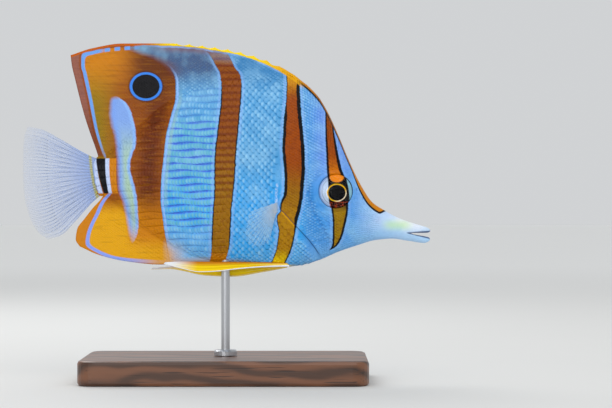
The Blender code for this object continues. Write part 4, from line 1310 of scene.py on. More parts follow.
def up_the_side(x, heights):
    """z of places that are so far up the skin, in millimetres along it from the fish's axis."""
    z = np.linspace(belly(x) + 0.15, back(x) - 0.15, 300)
    half = body_half_thickness(np.full_like(z, x), z, 0.2, 0.2, 0.6)
    gone = np.concatenate([[0], np.cumsum(np.hypot(np.diff(z), np.diff(half)))])
    gone -= np.interp(0, z, gone)
    inside = (heights > gone[0]) & (heights < gone[-1])
    return np.interp(heights[inside], gone, z)


def rank_places(first, last, pitch, row_pitch, offset_from):
    """A field of places: ranks along the body, every other one half a row higher as far back as
    offset_from, and level with the rest behind it.
    """
    places = []
    for rank, x in enumerate(np.arange(first, last, -pitch)):
        shift = 0.5 if rank % 2 and x > offset_from else 0
        heights = ROW_EDGE + (np.arange(-MOST_ROWS, MOST_ROWS) + 0.5 + shift) * row_pitch
        waver = ROW_WAVER * (0.6 + 0.4 * ease(x, 2, -8)) * np.sin(x * 0.42 + heights * 0.5)
        z = up_the_side(x, heights + waver)
        swerve = RANK_SWERVE * pitch * (np.sin(z * 0.61 + x * 0.33) + 0.6 * np.sin(z * 1.7 - x * 0.9))
        places.append(together(x + swerve, z))
    return np.concatenate(places)


def lie_slope(x, z):
    """How steeply the scales' rows run at a place: along the nearer outline, level between."""
    step = 1
    top, bottom = back(x), belly(x)
    rise_top = (back(x + step) - back(x - step)) / (2 * step)
    rise_bottom = (belly(x + step) - belly(x - step)) / (2 * step)
    share = np.clip((z - bottom) / np.maximum(top - bottom, 1), 0, 1)
    slope = rise_top * ease(share, 0.55, 1) + rise_bottom * ease(share, 0.45, 0)
    behind = ease(x, -12, -34)
    fan = np.clip((z - 1) / 40, -1, 1) * -0.35
    return np.arctan(slope * (1 - behind) + fan * behind)


def scale_fields(scales):
    """The fields of scales by name: their places, and the length and height of each scale."""
    rank, row = in_mm(scales.pitch), in_mm(scales.row)
    head, fin = in_mm(scales.head_pitch), in_mm(scales.fin_pitch)
    fields = (("body", 36, -46.2, rank, row, 0.5, in_body),
              ("border", 38, -46.2, rank * 0.80, row * 0.62, EVERYWHERE, in_border),
              ("head", 44, 17, head, head * 1.15, EVERYWHERE, in_head),
              ("face", 57.5, 41, head * 0.68, head * 0.80, EVERYWHERE, in_face),
              ("fin_low", 24.5, -47, fin, fin * 1.35, EVERYWHERE, in_fin(-0.35, FIN_FIELD_REACH, 1.5, 4.4)),
              ("fin_high", 10, -52, fin * 0.74, fin, EVERYWHERE,
               in_fin(FIN_FIELD_REACH, HIGH_FIELD_REACH, 1.9, 4.2)),
              ("fin_outer", -8, -54, fin * 0.60, fin * 0.82, EVERYWHERE,
               in_fin(HIGH_FIELD_REACH, OUTER_FIELD_REACH, 2.4, 5.6)))
    for name, first, last, ranks, rows, offset_from, inside in fields:
        x, z = rank_places(first, last, ranks, rows, offset_from).T
        keep = inside(x, z)
        for hole_x, hole_z in NOSTRILS:
            keep &= np.hypot(x - hole_x, z - hole_z) > 1.1
        x, z = x[keep], z[keep]
        yield name, x, z, (ranks * SCALE_OVERLAP, rows * SCALE_CROWDING)


def into_flesh(x, z):
    """How far inside the flesh's outline a place is; less than 0 on the fins."""
    return np.minimum(flesh_top(x) - z, z - flesh_bottom(x))


def behind_gill(x, z):
    return (gill_distance(x, z) < -0.2) & (x < np.where(z > GILL_TOP, 25.5, 99))


def border_width(x, z):
    """How wide a strip of finer scales runs inside the flesh's outline."""
    return BORDER_WIDTH + 6 * ease(x, 10, 24) * ease(z, -8, -20)


def in_body(x, z):
    return behind_gill(x, z) & (into_flesh(x, z) > border_width(x, z))


def in_border(x, z):
    inside = into_flesh(x, z)
    return behind_gill(x, z) & (inside <= border_width(x, z)) & (inside > 0.35)


def in_head(x, z):
    clear = np.where(z > GILL_TOP, -0.2, 1.95)
    return (~behind_gill(x, z) & (gill_distance(x, z) > clear) & (x <= FACE_START)
            & (np.hypot(x - EYE_X, z - EYE_Z) > ORBIT_RADIUS + 1.4)
            & (z < back(x) - 0.35) & (z > belly(x) + 0.35))


def in_face(x, z):
    return ((x > FACE_START) & (np.hypot(x - EYE_X, z - EYE_Z) > ORBIT_RADIUS + 1.2)
            & (x < FACE_END - 0.35 * np.abs(z + 17)) & (z < back(x) - 0.3) & (z > belly(x) + 0.3))


def in_fin(near, far, margin, rear_margin):
    """A test for places on a long fin, between two distances from the flesh."""
    def test(x, z):
        out = -into_flesh(x, z)
        to_edge = np.where(z > 0, back(x) - z, z - belly(x))
        to_rear = np.where(z > 0, x - dorsal_rear(z), x - anal_rear(z))
        spines = np.where(z > 0, 0.08 * np.abs(x - 10), 0)
        return ((out > near) & (out <= far) & (to_edge > margin + spines) & (to_rear > rear_margin)
                & (x < DORSAL_START))
    return test


# Fin rays.


def ray_mesh(name, rays):
    """Lines for rays: each is (points in mm, thickness at root, thickness at tip)."""
    points, edges, thick = [], [], []
    for path, root, tip in rays:
        start = len(points)
        count = len(path)
        points.extend(world(*path.T).tolist())
        edges.extend((start + k, start + k + 1) for k in range(count - 1))
        thick.extend((root + (tip - root) * np.linspace(0, 1, count) ** 0.8) * MM)
    mesh = bpy.data.meshes.new(name)
    mesh.from_pydata(points, edges, [])
    store(mesh, "thick", np.array(thick))
    return mesh


def flat_path(start, end, bow=0, count=14):
    """A ray in the fin's own plane, with a slight bow."""
    t = np.linspace(0, 1, count)[:, None]
    start, end = np.asarray(start, float), np.asarray(end, float)
    across = np.array([-(end - start)[1], (end - start)[0]])
    run = start * (1 - t) + end * t + across * bow * 4 * t * (1 - t)
    return together(run[:, 0], 0, run[:, 1])


def forked(path, tip_gap, at=0.5):
    """A soft ray's two branches beyond a fork, as paths."""
    count = len(path)
    fork = int(count * at)
    tail = path[fork:]
    run = tail[-1] - tail[0]
    across = np.array([-run[2], 0, run[0]]) / max(np.hypot(run[0], run[2]), 1e-6)
    spread = np.linspace(0, 1, len(tail))[:, None] ** 0.8
    return path[:fork + 1], [tail + across * spread * gap for gap in (tip_gap, -tip_gap)]


def long_fin_rays(fins, skin):
    """Spines and soft rays of the dorsal and the anal fin."""
    thick, tip, proud = in_mm(fins.ray), in_mm(fins.ray_tip), in_mm(fins.ray_proud)
    rays = []
    for roots, tips, count, flesh, sink, edge, short, bow, wide in (
            (SPINE_ROOTS, SPINE_TIPS, FIN_SPINES, flesh_top, -1, back, -0.05, -0.02, 1.35),
            (ANAL_SPINE_ROOTS, ANAL_SPINE_TIPS, ANAL_SPINES, flesh_bottom, 0.8, belly, 0.05, 0.02, 1.5)):
        for root_x, tip_x in zip(np.linspace(*roots, count), np.linspace(*tips, count)):
            root, end = (root_x, float(flesh(root_x)) + sink), (tip_x, float(edge(tip_x)) + short)
            rays.append((flat_path(root, end, bow), thick * wide, tip * 1.1))
    edge_x = np.linspace(SOFT_DORSAL_TIPS, BACK[-1][0], 12)
    edge = [(x, float(back(x))) for x in edge_x] + DORSAL_REAR[::-1][1:]
    rays += soft_rays(along(edge), SOFT_DORSAL_ROOTS, flesh_top, -1, DORSAL_RAYS, skin, proud, 0.05)
    edge_x = np.linspace(SOFT_ANAL_TIPS, BELLY[-1][0], 10)
    edge = [(x, float(belly(x))) for x in edge_x] + ANAL_REAR[1:]
    rays += soft_rays(along(edge), SOFT_ANAL_ROOTS, flesh_bottom, 1, ANAL_RAYS, skin, proud, -0.05)
    return rays


def ray_widths(path, skin, proud):
    """Rods that lie inside the scaled part of a long fin and stand proud of its bare margin."""
    x, z = path[:, 0], path[:, 2]
    half = skin_half(x, z, skin)
    to_edge = np.where(z > 0, np.minimum(back(x) - z, x - dorsal_rear(z)),
                       np.minimum(z - belly(x), x - anal_rear(z)))
    out = -into_flesh(x, z)
    bare = np.maximum(ease(to_edge, 5, 3.4), ease(out, OUTER_FIELD_REACH - 1.5, OUTER_FIELD_REACH + 1.5))
    widths = np.clip(half - 0.06, 0.09, 0.5) + (0.06 + proud) * bare
    return np.minimum(widths, np.clip(to_edge - 0.08, 0.05, None))


def soft_rays(edge, roots, flesh, inward, count, skin, proud, bow):
    """Forked rays from the flesh to a fin's edge."""
    rays = []
    for k in range(count):
        t = (k + 0.5) / count
        root_x = roots[0] + (roots[1] - roots[0]) * t
        root = (root_x, float(flesh(np.array(root_x))) + inward)
        end = edge(np.array(0.02 + RAY_REACH * t))
        end = end + (np.array(root) - end) * RAY_INSET / np.linalg.norm(np.array(root) - end)
        path = flat_path(root, end, bow * math.sin(math.pi * t), 18)
        stem, branches = forked(path, 0.32, 0.55)
        for run in (stem, *(branch[:-1] for branch in branches)):
            widths = ray_widths(run, skin, proud)
            rays.append((run, widths, widths))
    return rays


# The tail fin and the paired fins.


def tail_place(a, share):
    """A side-view place on the tail fin: a from root to margin, share from its lower edge up."""
    return patch(along(TAIL_BOTTOM), along(TAIL_TOP), along(TAIL_ROOT), along(TAIL_MARGIN), a, share)


def tail_ripple(a, share):
    """The fin's slow waves across its middle plane."""
    return 0.45 * a * np.sin(share * 9 + a * 2)


def membrane_mesh(name, middle, half):
    """A thin closed sheet about a grid of places in millimetres, half as thick as half says."""
    rows, columns = middle.shape[:2]
    step_r, step_c = np.gradient(middle, axis=0), np.gradient(middle, axis=1)
    normal = np.cross(step_r, step_c)
    normal /= np.maximum(np.linalg.norm(normal, axis=2), 1e-9)[..., None]
    sides = [middle + normal * half[..., None], middle - normal * half[..., None]]
    points = np.concatenate([s.reshape(-1, 3) for s in sides])
    count = rows * columns
    faces = grid_faces(rows, columns) + [f[::-1] for f in grid_faces(rows, columns, count)]
    faces += rim_faces(rows, columns, lambda rim: [k + count for k in rim])[0]
    mesh = make_mesh(name, world(*points.T), faces)
    spots = together(*net(rows, columns), 0).reshape(-1, 3)
    store(mesh, "on_fin", np.concatenate([spots, spots]))
    return mesh


def pectoral_place(side, reach, fan, skin):
    """A place on a pectoral fin: reach from root to tip, fan from its upper edge to its lower."""
    root_x, root_z = PECTORAL_ROOT
    root_y = float(skin_half(np.array(root_x), np.array(root_z), skin)) + PECTORAL_STANDOFF
    angle = np.radians(PECTORAL_FALL + fan * PECTORAL_SPREAD)
    length = reach * PECTORAL_LENGTH * (1 - 1.1 * fan ** 2) * (1 - 0.45 * np.clip(fan, 0, 1))
    back_by = length * np.cos(angle)
    down_by = length * np.sin(angle) + fan * PECTORAL_ROOT_HEIGHT
    flare = math.radians(PECTORAL_FLARE)
    out = back_by * math.sin(flare) + PECTORAL_CUP * reach * (1 - 4 * fan ** 2)
    out = out + 0.12 * reach * np.sin(fan * 40)
    return together(root_x - back_by * math.cos(flare), side * (root_y + out), root_z - down_by)


def pelvic_place(word, side, t, across):
    """A place on a folded pelvic fin: t from root to tip, across from outer to inner edge."""
    t, across = np.asarray(t, float), np.asarray(across, float)
    outer, inner = along(PELVIC_OUTER[word])(t), along(PELVIC_INNER[word])(t)
    run = outer * (1 - across[..., None]) + inner * across[..., None]
    out = PELVIC_SPACING + PELVIC_SPLAY * t - 0.3 * across + 0.10 * np.sin(across * 20) * (1 - t)
    return together(run[..., 0], side * out, run[..., 1])


# The eyes.


def eye_points(profile, side):
    """Rings about the eye's axis: profile is (radius, height over the eye's middle) in mm."""
    turn = np.linspace(0, 2 * np.pi, EYE_AROUND, endpoint=False)
    points = []
    for radius, height in profile:
        near = ease(radius, EYE_RADIUS, 2)
        x = radius * np.cos(turn) + (PUPIL_X - EYE_X) * near
        z = radius * np.sin(turn) * (1 - 0.085 * near) + (PUPIL_Z - EYE_Z) * near
        points.append(together(x, height, z))
    points = np.array(points)
    angle = math.radians(EYE_TURN)
    x = points[..., 0] * math.cos(angle) + points[..., 1] * math.sin(angle)
    y = points[..., 1] * math.cos(angle) - points[..., 0] * math.sin(angle)
    return together(x + EYE_X, side * (y + EYE_OFFSET), points[..., 2] + EYE_Z)


def eye_mesh(name, profile, side):
    """A closed turned shape whose first and last rings shrink to a point."""
    places = eye_points(profile, side)
    rows = len(places)
    faces = grid_faces(rows, EYE_AROUND, closed=True)
    flat = places.reshape(-1, 3)
    faces.append(tuple(range(EYE_AROUND)))
    faces.append(tuple(reversed(range((rows - 1) * EYE_AROUND, rows * EYE_AROUND))))
    return make_mesh(name, world(*flat.T), faces)


def eye_dome(radius):
    """Height of the eye's outer dome at a radius."""
    return EYE_DEPTH * math.sqrt(max(1 - (radius / EYE_RADIUS) ** 2, 0))


def eyeball_profile():
    """Lens in the pupil, raised gold rim, cupped iris, and the rounded back of the ball."""
    lens = [(r, 1.55 + 0.75 * math.sqrt(max(1 - (r / 3.3) ** 2, 0))) for r in np.linspace(0.05, 2.95, 12)]
    rim = [(3.02, 1.72), (3.1, 1.80), (3.2, 1.90), (3.35, 1.93), (3.5, 1.88), (3.65, 1.80)]
    iris = [(r, 1.80 - 0.30 * (r - 3.65) + 0.015 * math.sin((r - 3.65) * 9))
            for r in np.linspace(3.8, 6, 16)]
    edge = [(6.12, 0.97), (6.25, 0.80), (6.38, 0.55), (6.45, 0.2), (6.45, -0.2)]
    ball = [(6.45 * math.cos(a), -0.2 - 2.8 * math.sin(a))
            for a in np.linspace(0.12, math.pi / 2 - 0.01, 14)]
    return lens + rim + iris + edge + ball


def cornea_profile():
    """A thin clear shell over lens and iris: its outer face, then its inner face back in."""
    outer = [(r, eye_dome(r)) for r in np.linspace(0.04, 6.22, 26)]
    inner = [(r, eye_dome(r) - 0.13) for r in np.linspace(6.2, 0.04, 24)]
    return outer + inner


def iris_material():
    made, g, shader = new_material("iris")
    x, y, z = g.place()
    across, above = x - PUPIL_X, z - PUPIL_Z
    away = far_off(across, above * (PUPIL_RADII[0] / PUPIL_RADII[1]))
    from_orbit = far_off(x - EYE_X, z - EYE_Z)
    c = bpy.context.scene.reef_colours
    rings = g.math("SINE", away * 7.5 + g.noise(1.5) * 2).rise(-0.6, 1)
    silver = g.mix(rings * 0.28, c.iris_silver, c.iris_blue)
    silver.over(from_orbit.rise(4.8, 6) * 0.7, c.iris_blue)
    silver.over(away.rise(4.2, 3.5) * 0.7, c.white)
    silver.over(x.rise(42.5, 45) * 0.55, c.teal)
    silver.over(line(from_orbit - 4.9, 0.22, 0.15) * 0.5, c.slit_blue)
    low_front = x.rise(42.6, 43.6) * z.rise(-6, -8) * away.rise(4.6, 3.9)
    silver.over(low_front * 0.8, c.yellow)
    # The eye bar runs over the ball: dark above the pupil, with an orange top, russet below it.
    rear, front = z.through(EYE_BAR_REAR), z.through(EYE_BAR_FRONT)
    in_bar = (x - rear + 0.2).least(front - x + 0.5).rise(-0.2, 0.2)
    russet = line(g.noise(1.1) - 0.5, 0.16, 0.06)
    bar_paint = g.mix(z.rise(-9.2, -9.9) * (1 - russet), c.ink, c.russet)
    orange_top = far_off((x - PUPIL_X) * 0.37, (z + 0.5) * 0.5).rise(1.06, 0.84)
    bar_paint.over(orange_top, c.bright_orange)
    colour = g.mix(in_bar, silver, bar_paint)
    gold = g.mix(g.noise(0.8), c.amber, c.yellow)
    gold.over((across - above).rise(1.5, 4) * 0.5, c.white)
    uneven = (g.noise(2.2, 1) - 0.5) * 0.5
    colour.over((away + uneven).rise(3.72, 3.42) * away.rise(3.05, 3.2), gold)
    colour.over(away.rise(3.2, 3.08), c.pupil)
    colour.over(from_orbit.rise(5.95, 6.12) * (1 - in_bar * z.rise(-2.5, -1.5)), c.ink)
    g.fill(shader, Base_Color=colour, Roughness=0.4, Specular_IOR_Level=0.05,
           Metallic=away.rise(3.4, 3.9) * 0.25, Normal=g.bump(rings * 0.4 + g.noise(0.5), 0.02, 0.5))
    return made


def cornea_material():
    made, g, shader = new_material("cornea")
    g.fill(shader, Base_Color=(1, 1, 1, 1), Transmission_Weight=1, Roughness=0, IOR=1.16)
    return made


def clear_fin_material(name, colour, base_alpha, tip_alpha, tint):
    """A see-through fin: denser at its root, with faint streaks along the rays."""
    made, g, shader = new_material(name)
    out, share = g.own("on_fin")
    streak = g.math("SINE", share * 230 + g.noise(6, 1) * 6).rise(-1, 1)
    cloud = g.noise(5, 3)
    paint = g.mix(streak * 0.35, colour, bpy.context.scene.reef_colours.white)
    # Towards the root the tint takes over: on the tail fin its own white root, on the pectoral fins a
    # painted highlight.
    paint.over(out.rise(0.55, 0), tint)
    solid = out * (tip_alpha - base_alpha) + base_alpha
    g.fill(shader, Base_Color=stalk_band(g, paint), Roughness=0.28, Coat_Weight=0.3, Coat_Roughness=0.1,
           Alpha=solid * (streak * 0.25 + 0.8) * (cloud * 0.4 + 0.8),
           Normal=g.bump(streak + cloud, 0.05, 0.5))
    return made


def stalk_band(g, paint):
    """The yellow band across the root of the tail fin, over its own paint."""
    x, y, z = g.place()
    c = bpy.context.scene.reef_colours
    return g.mix(stalk_mark("yellow", x, z, 0.35) * 0.85, paint, c.stalk_yellow)


def ray_material(name, colour, alpha=1, fading=False):
    """Fin rays: small joints across them, in one colour, clearer towards the tail's margin."""
    made, g, shader = new_material(name)
    joints = g.noise(0.6)
    paint = g.mix(joints * 0.35, colour, bpy.context.scene.reef_colours.white)
    g.fill(shader, Base_Color=stalk_band(g, paint), Roughness=0.3, Normal=g.bump(joints, 0.03, 0.5),
           Alpha=g.place()[0].rise(-78, -50) * alpha + 0.06 if fading else alpha)
    return made


def painted_ray_material():
    """Rays of the dorsal and anal fins, in the markings' own colours."""
    made, g, shader = new_material("fin ray")
    g.fill(shader, Base_Color=painted(g, shared_markings(), 0.2, 0.6, 0.6), Roughness=0.3,
           Specular_IOR_Level=0.17, Normal=g.bump(g.noise(0.6), 0.03, 0.6))
    return made


def pelvic_material():
    """Yellow skin between the pelvic rays, paler at the tip."""
    made, g, shader = new_material("pelvic fin")
    c = bpy.context.scene.reef_colours
    out, share = g.own("on_fin")
    folds = g.math("SINE", share * 22).rise(-1, 1)
    paint = g.mix(folds * 0.25, c.yellow, c.gold)
    paint.over(share.rise(0.45, 0.9), c.amber)
    paint.over(out.rise(0.72, 0.98), c.white)
    g.fill(shader, Base_Color=paint, Roughness=0.32, Specular_IOR_Level=0.12,
           Normal=g.bump(folds + g.noise(0.5) * 0.5, 0.08, 0.6))
    return made


def walnut_material(colour):
    made, g, shader = new_material("walnut")
    x, y, z = g.place()
    wander = g.noise(22, 3, (0.35, 1, 1)) * 26
    rings = g.math("SINE", y * 0.55 + z * 0.9 + wander).rise(-1, 1)
    fibre = g.noise(1.6, 3, (0.06, 1, 1))
    pores = g.noise(0.7, 1, (0.05, 1, 1)).rise(0.62, 0.72)
    deep = tuple(0.38 * k for k in colour)
    light = tuple(min(1.9 * k, 1) for k in colour)
    wood = g.mix(rings * 0.75 + fibre * 0.3, deep, light)
    wood.over(pores * 0.7, tuple(0.16 * k for k in colour))
    g.fill(shader, Base_Color=wood, Roughness=fibre * 0.25 + 0.28,
           Normal=g.bump(fibre - pores * 1.4, 0.05, 0.5), Coat_Weight=0.25, Coat_Roughness=0.25)
    return made


def steel_material():
    made, g, shader = new_material("brushed steel")
    brushing = g.noise(0.5, 3, (1, 1, 12))
    g.fill(shader, Base_Color=g.mix(brushing * 0.4, srgb(196, 198, 202), srgb(150, 152, 156)),
           Metallic=1, Roughness=brushing * 0.2 + 0.2, Normal=g.bump(brushing, 0.01, 0.4))
    return made


# What a user can change.


def a_length(name, text, default):
    return bpy.props.FloatProperty(name=name, description=text, default=default * MM, min=0,
                                   max=10 * MM, unit="LENGTH", precision=5)


def an_angle(name, text, degrees):
    return bpy.props.FloatProperty(name=name, description=text, default=math.radians(degrees),
                                   min=0, max=math.radians(40), subtype="ANGLE")


def a_count(name, text, default):
    return bpy.props.IntProperty(name=name, description=text, default=default, min=3)


def a_power(name, text, default):
    return bpy.props.FloatProperty(name=name, description=text, default=default, min=0, unit="POWER")


def a_colour(name, text, red, green, blue):
    return bpy.props.FloatVectorProperty(name=name, description=text, default=srgb(red, green, blue),
                                         min=0, max=1, size=3, subtype="COLOR")


class ReefSkinSettings(bpy.types.PropertyGroup):
    coat_depth: a_length("Coat depth", "How far the skin lies under the tips of the scales", 0.2)
    fin_edge: a_length("Fin edge", "Half of the fins' thickness near their margin", 0.15)
    fin_root: a_length("Fin root", "Half of the fins' thickness where they leave the flesh", 0.62)
    notch_depth: a_length("Notch depth", "How far the fin dips between two spine tips", 0.75)
    orbit_rim: a_length("Eye rim", "Height of the fold of skin round the eye", 0.34)
    gill_step: a_length("Gill step", "Drop behind the edge of the gill cover", 0.42)


class ReefScaleSettings(bpy.types.PropertyGroup):
    pitch: a_length("Pitch", "Distance from one rank of body scales to the next", 1.15)
    row: a_length("Row height", "Distance from one row of body scales to the next", ROW_PITCH)
    head_pitch: a_length("Head pitch", "Distance between scales on the head", 0.90)
    fin_pitch: a_length("Fin pitch", "Distance between scales on the fins", 0.84)
    thickness: a_length("Thickness", "Thickness of a scale", 0.06)
    lift: an_angle("Lift", "How far a scale's tip leans off the skin", 5)
    unevenness: an_angle("Unevenness", "How much the lean varies", 1.4)
    seed: bpy.props.IntProperty(name="Seed", description="Order of the random lean", default=7, min=0)


class ReefFinSettings(bpy.types.PropertyGroup):
    ray: a_length("Spine", "Half of a fin spine's thickness at its root", 0.33)
    ray_tip: a_length("Spine tip", "Half of a fin spine's thickness at its tip", 0.17)
    ray_proud: a_length("Ray relief", "How far soft rays stand proud of the fins' margins", 0.05)
    membrane: a_length("Membrane", "Half of the clear fins' thickness", 0.08)
    ray_sides: a_count("Ray sides", "Faces round a ray", 7)
    tail_rays: a_count("Tail rays", "Rays in the tail fin", 17)
    pectoral_rays: a_count("Pectoral rays", "Rays in a pectoral fin", 14)


class ReefColourSettings(bpy.types.PropertyGroup):
    pale_blue: a_colour("Pale blue", "Body between the bars", 120, 176, 224)
    low_blue: a_colour("Low blue", "Body towards the belly", 112, 186, 250)
    shadow_blue: a_colour("Shadow blue", "Body towards the back", 92, 140, 188)
    # Painted shade on the back between the last two bars.
    back_shade_purple: a_colour("Dusk purple", "Back between the last two bars", 84, 98, 128)
    lit_blue: a_colour("Lit blue", "Light middles of the scales", 176, 220, 248)
    rim_blue: a_colour("Rim blue", "Deeper rims of the scales", 70, 128, 182)
    teal: a_colour("Teal", "Middles of the striped rows", 120, 196, 204)
    violet: a_colour("Violet", "Lines between the rear rows", 112, 128, 232)
    head_blue: a_colour("Head blue", "Head", 128, 178, 238)
    cheek_blue: a_colour("Cheek blue", "Cheek", 96, 158, 228)
    forehead_lilac: a_colour("Forehead lilac", "Forehead", 146, 172, 246)
    snout_white: a_colour("Snout white", "Snout and jaws", 206, 222, 250)
    throat_blue: a_colour("Throat blue", "Throat", 150, 200, 246)
    halo_blue: a_colour("Halo blue", "Light edge beside the bars", 166, 200, 252)
    line_lilac: a_colour("Line lilac", "Line in the anal fin", 160, 178, 246)
    ring_blue: a_colour("Ring blue", "Ring of the eye-spot", 110, 156, 240)
    line_blue: a_colour("Line blue", "Line in the dorsal fin", 138, 178, 240)
    slit_blue: a_colour("Slit blue", "Shaded gill opening", 46, 62, 110)
    ink: a_colour("Ink", "Black edges and eye-spot", 3, 3, 9)
    purple_ink: a_colour("Purple ink", "Dark side of the tail bar's edge", 74, 44, 78)
    pupil: a_colour("Pupil", "Pupil", 2, 2, 5)
    copper: a_colour("Copper", "Bars", 146, 74, 2)
    ochre: a_colour("Ochre", "Lower part of the bars", 160, 108, 4)
    ember: a_colour("Ember", "Reddest part of the front bars", 160, 72, 0)
    rust: a_colour("Rust", "Middle of the tail bar", 112, 44, 8)
    deep_rust: a_colour("Deep rust", "Darkest part of the tail bar", 78, 32, 12)
    rust_top: a_colour("Rust top", "Top of the tail bar", 106, 52, 10)
    amber: a_colour("Amber", "Lower tail bar and stripe on the snout", 208, 128, 2)
    gold: a_colour("Gold", "Anal fin and upper gill bar", 232, 168, 2)
    yellow: a_colour("Yellow", "Fin edge and pelvic fins", 255, 220, 0)
    olive_gold: a_colour("Olive gold", "Lower ends of the front bars", 160, 122, 6)
    gill_gold: a_colour("Gill gold", "Lower part of the gill bar", 180, 128, 4)
    olive: a_colour("Olive", "Inner edge of the dorsal fin", 132, 114, 18)
    umber: a_colour("Umber", "Bar right under the eye", 46, 24, 8)
    bright_orange: a_colour("Bright orange", "Spot over the eye", 226, 128, 14)
    russet: a_colour("Russet", "Iris under the pupil", 164, 58, 24)
    peach: a_colour("Peach", "Pale flush of the anal fin", 222, 170, 110)
    patch_lilac: a_colour("Patch lilac", "Rear of the pale patch", 150, 180, 244)
    patch_green: a_colour("Patch green", "Middle of the pale patch", 176, 204, 186)
    margin_pink: a_colour("Margin pink", "Clear margin of the dorsal fin", 164, 112, 98)
    margin_mauve: a_colour("Margin mauve", "Streaks of that margin", 134, 92, 84)
    orange_pink: a_colour("Orange pink", "Edge of the soft dorsal fin", 196, 112, 74)
    lime: a_colour("Lime", "Tint on the snout", 186, 230, 110)
    white: a_colour("White", "White lines", 244, 248, 255)
    tail_white: a_colour("Tail white", "Root of the tail fin", 140, 172, 234)
    stalk_white: a_colour("Stalk white", "White bands of the tail stalk", 206, 220, 250)
    stalk_yellow: a_colour("Stalk yellow", "Yellow band of the tail stalk", 196, 190, 96)
    iris_silver: a_colour("Iris silver", "Iris", 190, 208, 232)
    iris_blue: a_colour("Iris blue", "Shaded rings of the iris", 112, 148, 204)
    clear_fin: a_colour("Clear fin", "Tail and pectoral fins", 158, 180, 222)
    walnut: a_colour("Walnut", "Stand base", 92, 56, 34)
    backdrop: a_colour("Backdrop", "Floor and backdrop", 226, 226, 224)


class ReefStageSettings(bpy.types.PropertyGroup):
    distance: bpy.props.FloatProperty(name="Camera distance", description="From the lens to the fish",
                                      default=0.8, min=0.3, max=3, unit="LENGTH")
    key_power: a_power("Key light", "Power of the large main light", 2.35)
    fill_power: a_power("Fill light", "Power of the light beside the lens", 2.1)
    rim_power: a_power("Rim light", "Power of the light behind the fish", 1.6)
    ambient: bpy.props.FloatProperty(name="Room light", description="Strength of the light from all sides",
                                     default=0.66, min=0, max=5)


# Operators.


class REEF_OT_skin(bpy.types.Operator):
    """Wraps head, body and the long fins in one skin"""
    bl_idname = "reef.skin"
    bl_label = "Skin"

    def execute(self, context):
        add_piece("skin", skin_mesh(context.scene.reef_skin), skin_material(), (
            "snout", "upper_jaw", "lower_jaw", "head", "gill_cover_left", "gill_cover_right", "trunk",
            "tail_stalk", "dorsal_fin_spiny", "dorsal_fin_soft", "anal_fin"))
        return {"FINISHED"}


class REEF_OT_scales(bpy.types.Operator):
    """Lays scales over body, head and fin roots, on both sides"""
    bl_idname = "reef.scales"
    bl_label = "Scales"

    def execute(self, context):
        scales, skin = context.scene.reef_scales, context.scene.reef_skin
        material = scale_material()
        thick = in_mm(scales.thickness)
        large = scale_shape("scale_large", 5, 6, thick, 0.10)
        small = scale_shape("scale_small", 4, 4, thick * 0.8, 0.05)
        chance = np.random.default_rng(scales.seed)
        for field, x, z, size in scale_fields(scales):
            tone = chance.random(len(x))
            for word, side in SIDES:
                name = f"scales_{field}_{word}"
                seeds = seed_points(name, x, z, side, size, tone, skin)
                flat = FIN_LIFT if field.startswith("fin") else 1
                mesh = grown(name, seeds, shared_tree("Lay scales", shape_tree), {
                    "Scale Shape": large if field == "body" else small, "Lift": scales.lift * flat,
                    "Unevenness": scales.unevenness * flat, "Map Patch": MAP_PATCH,
                    "Seed": scales.seed, "Material": material})
                add_piece(name, mesh, material)
        for shape in (large, small):
            bpy.data.objects.remove(shape)
        return {"FINISHED"}


class REEF_OT_long_fins(bpy.types.Operator):
    """Adds the spines and rays of the dorsal and anal fins"""
    bl_idname = "reef.long_fins"
    bl_label = "Dorsal and anal rays"

    def execute(self, context):
        lines = long_fin_rays(context.scene.reef_fins, context.scene.reef_skin)
        add_rods("long_fin_rays", lines, painted_ray_material())
        return {"FINISHED"}


class REEF_OT_tail_fin(bpy.types.Operator):
    """Makes the clear tail fin and its branching rays"""
    bl_idname = "reef.tail_fin"
    bl_label = "Tail fin"

    def execute(self, context):
        fins, c = context.scene.reef_fins, context.scene.reef_colours
        a, share = net(*TAIL_NET)
        scallop = 1 - 0.006 * (1 - np.abs(np.sin(share * np.pi * (fins.tail_rays * 2)))) * a
        place = tail_place(a * scallop, share)
        middle = together(place[..., 0], tail_ripple(a, share), place[..., 1])
        half = in_mm(fins.membrane) * (1 + 9 * np.exp(-(a / 0.07) ** 2)
                                       * np.sqrt(np.clip(4 * share * (1 - share), 0, 1)))
        material = clear_fin_material("tail fin", c.clear_fin, 0.92, 0.10, c.tail_white)
        mesh = membrane_mesh("tail_fin", middle, half)
        add_piece("tail_fin", mesh, material, ("caudal_fin",))
        rays = []
        for k in range(fins.tail_rays):
            mid = TAIL_INSET + (1 - 2 * TAIL_INSET) * k / (fins.tail_rays - 1)
            gap = (1 - 2 * TAIL_INSET) / (fins.tail_rays - 1) / 4
            rays += self.branch(mid, mid, *TAIL_RUNS[0])
            outer = k in (0, fins.tail_rays - 1)
            for fork in ((0,) if outer else (-1, 1)):
                first = mid + fork * gap
                rays += self.branch(mid, first, *TAIL_RUNS[1])
                for again in ((0,) if outer else (-0.5, 0.5)):
                    rays += self.branch(first, first + again * gap * 1.1, *TAIL_RUNS[2])
        add_rods("tail_fin_rays", rays, ray_material("tail ray", c.clear_fin, 0.46, True))
        return {"FINISHED"}

    @staticmethod
    def branch(share_from, share_to, a_from, a_to, root, tip):
        """One run of a tail ray, from one share of the fin's height to another."""
        a = np.linspace(a_from, a_to, 10)
        share = share_from + (share_to - share_from) * ease(a, a_from, a_to)
        place = tail_place(a, share)
        return [(together(place[:, 0], tail_ripple(a, share), place[:, 1]), root, tip)]


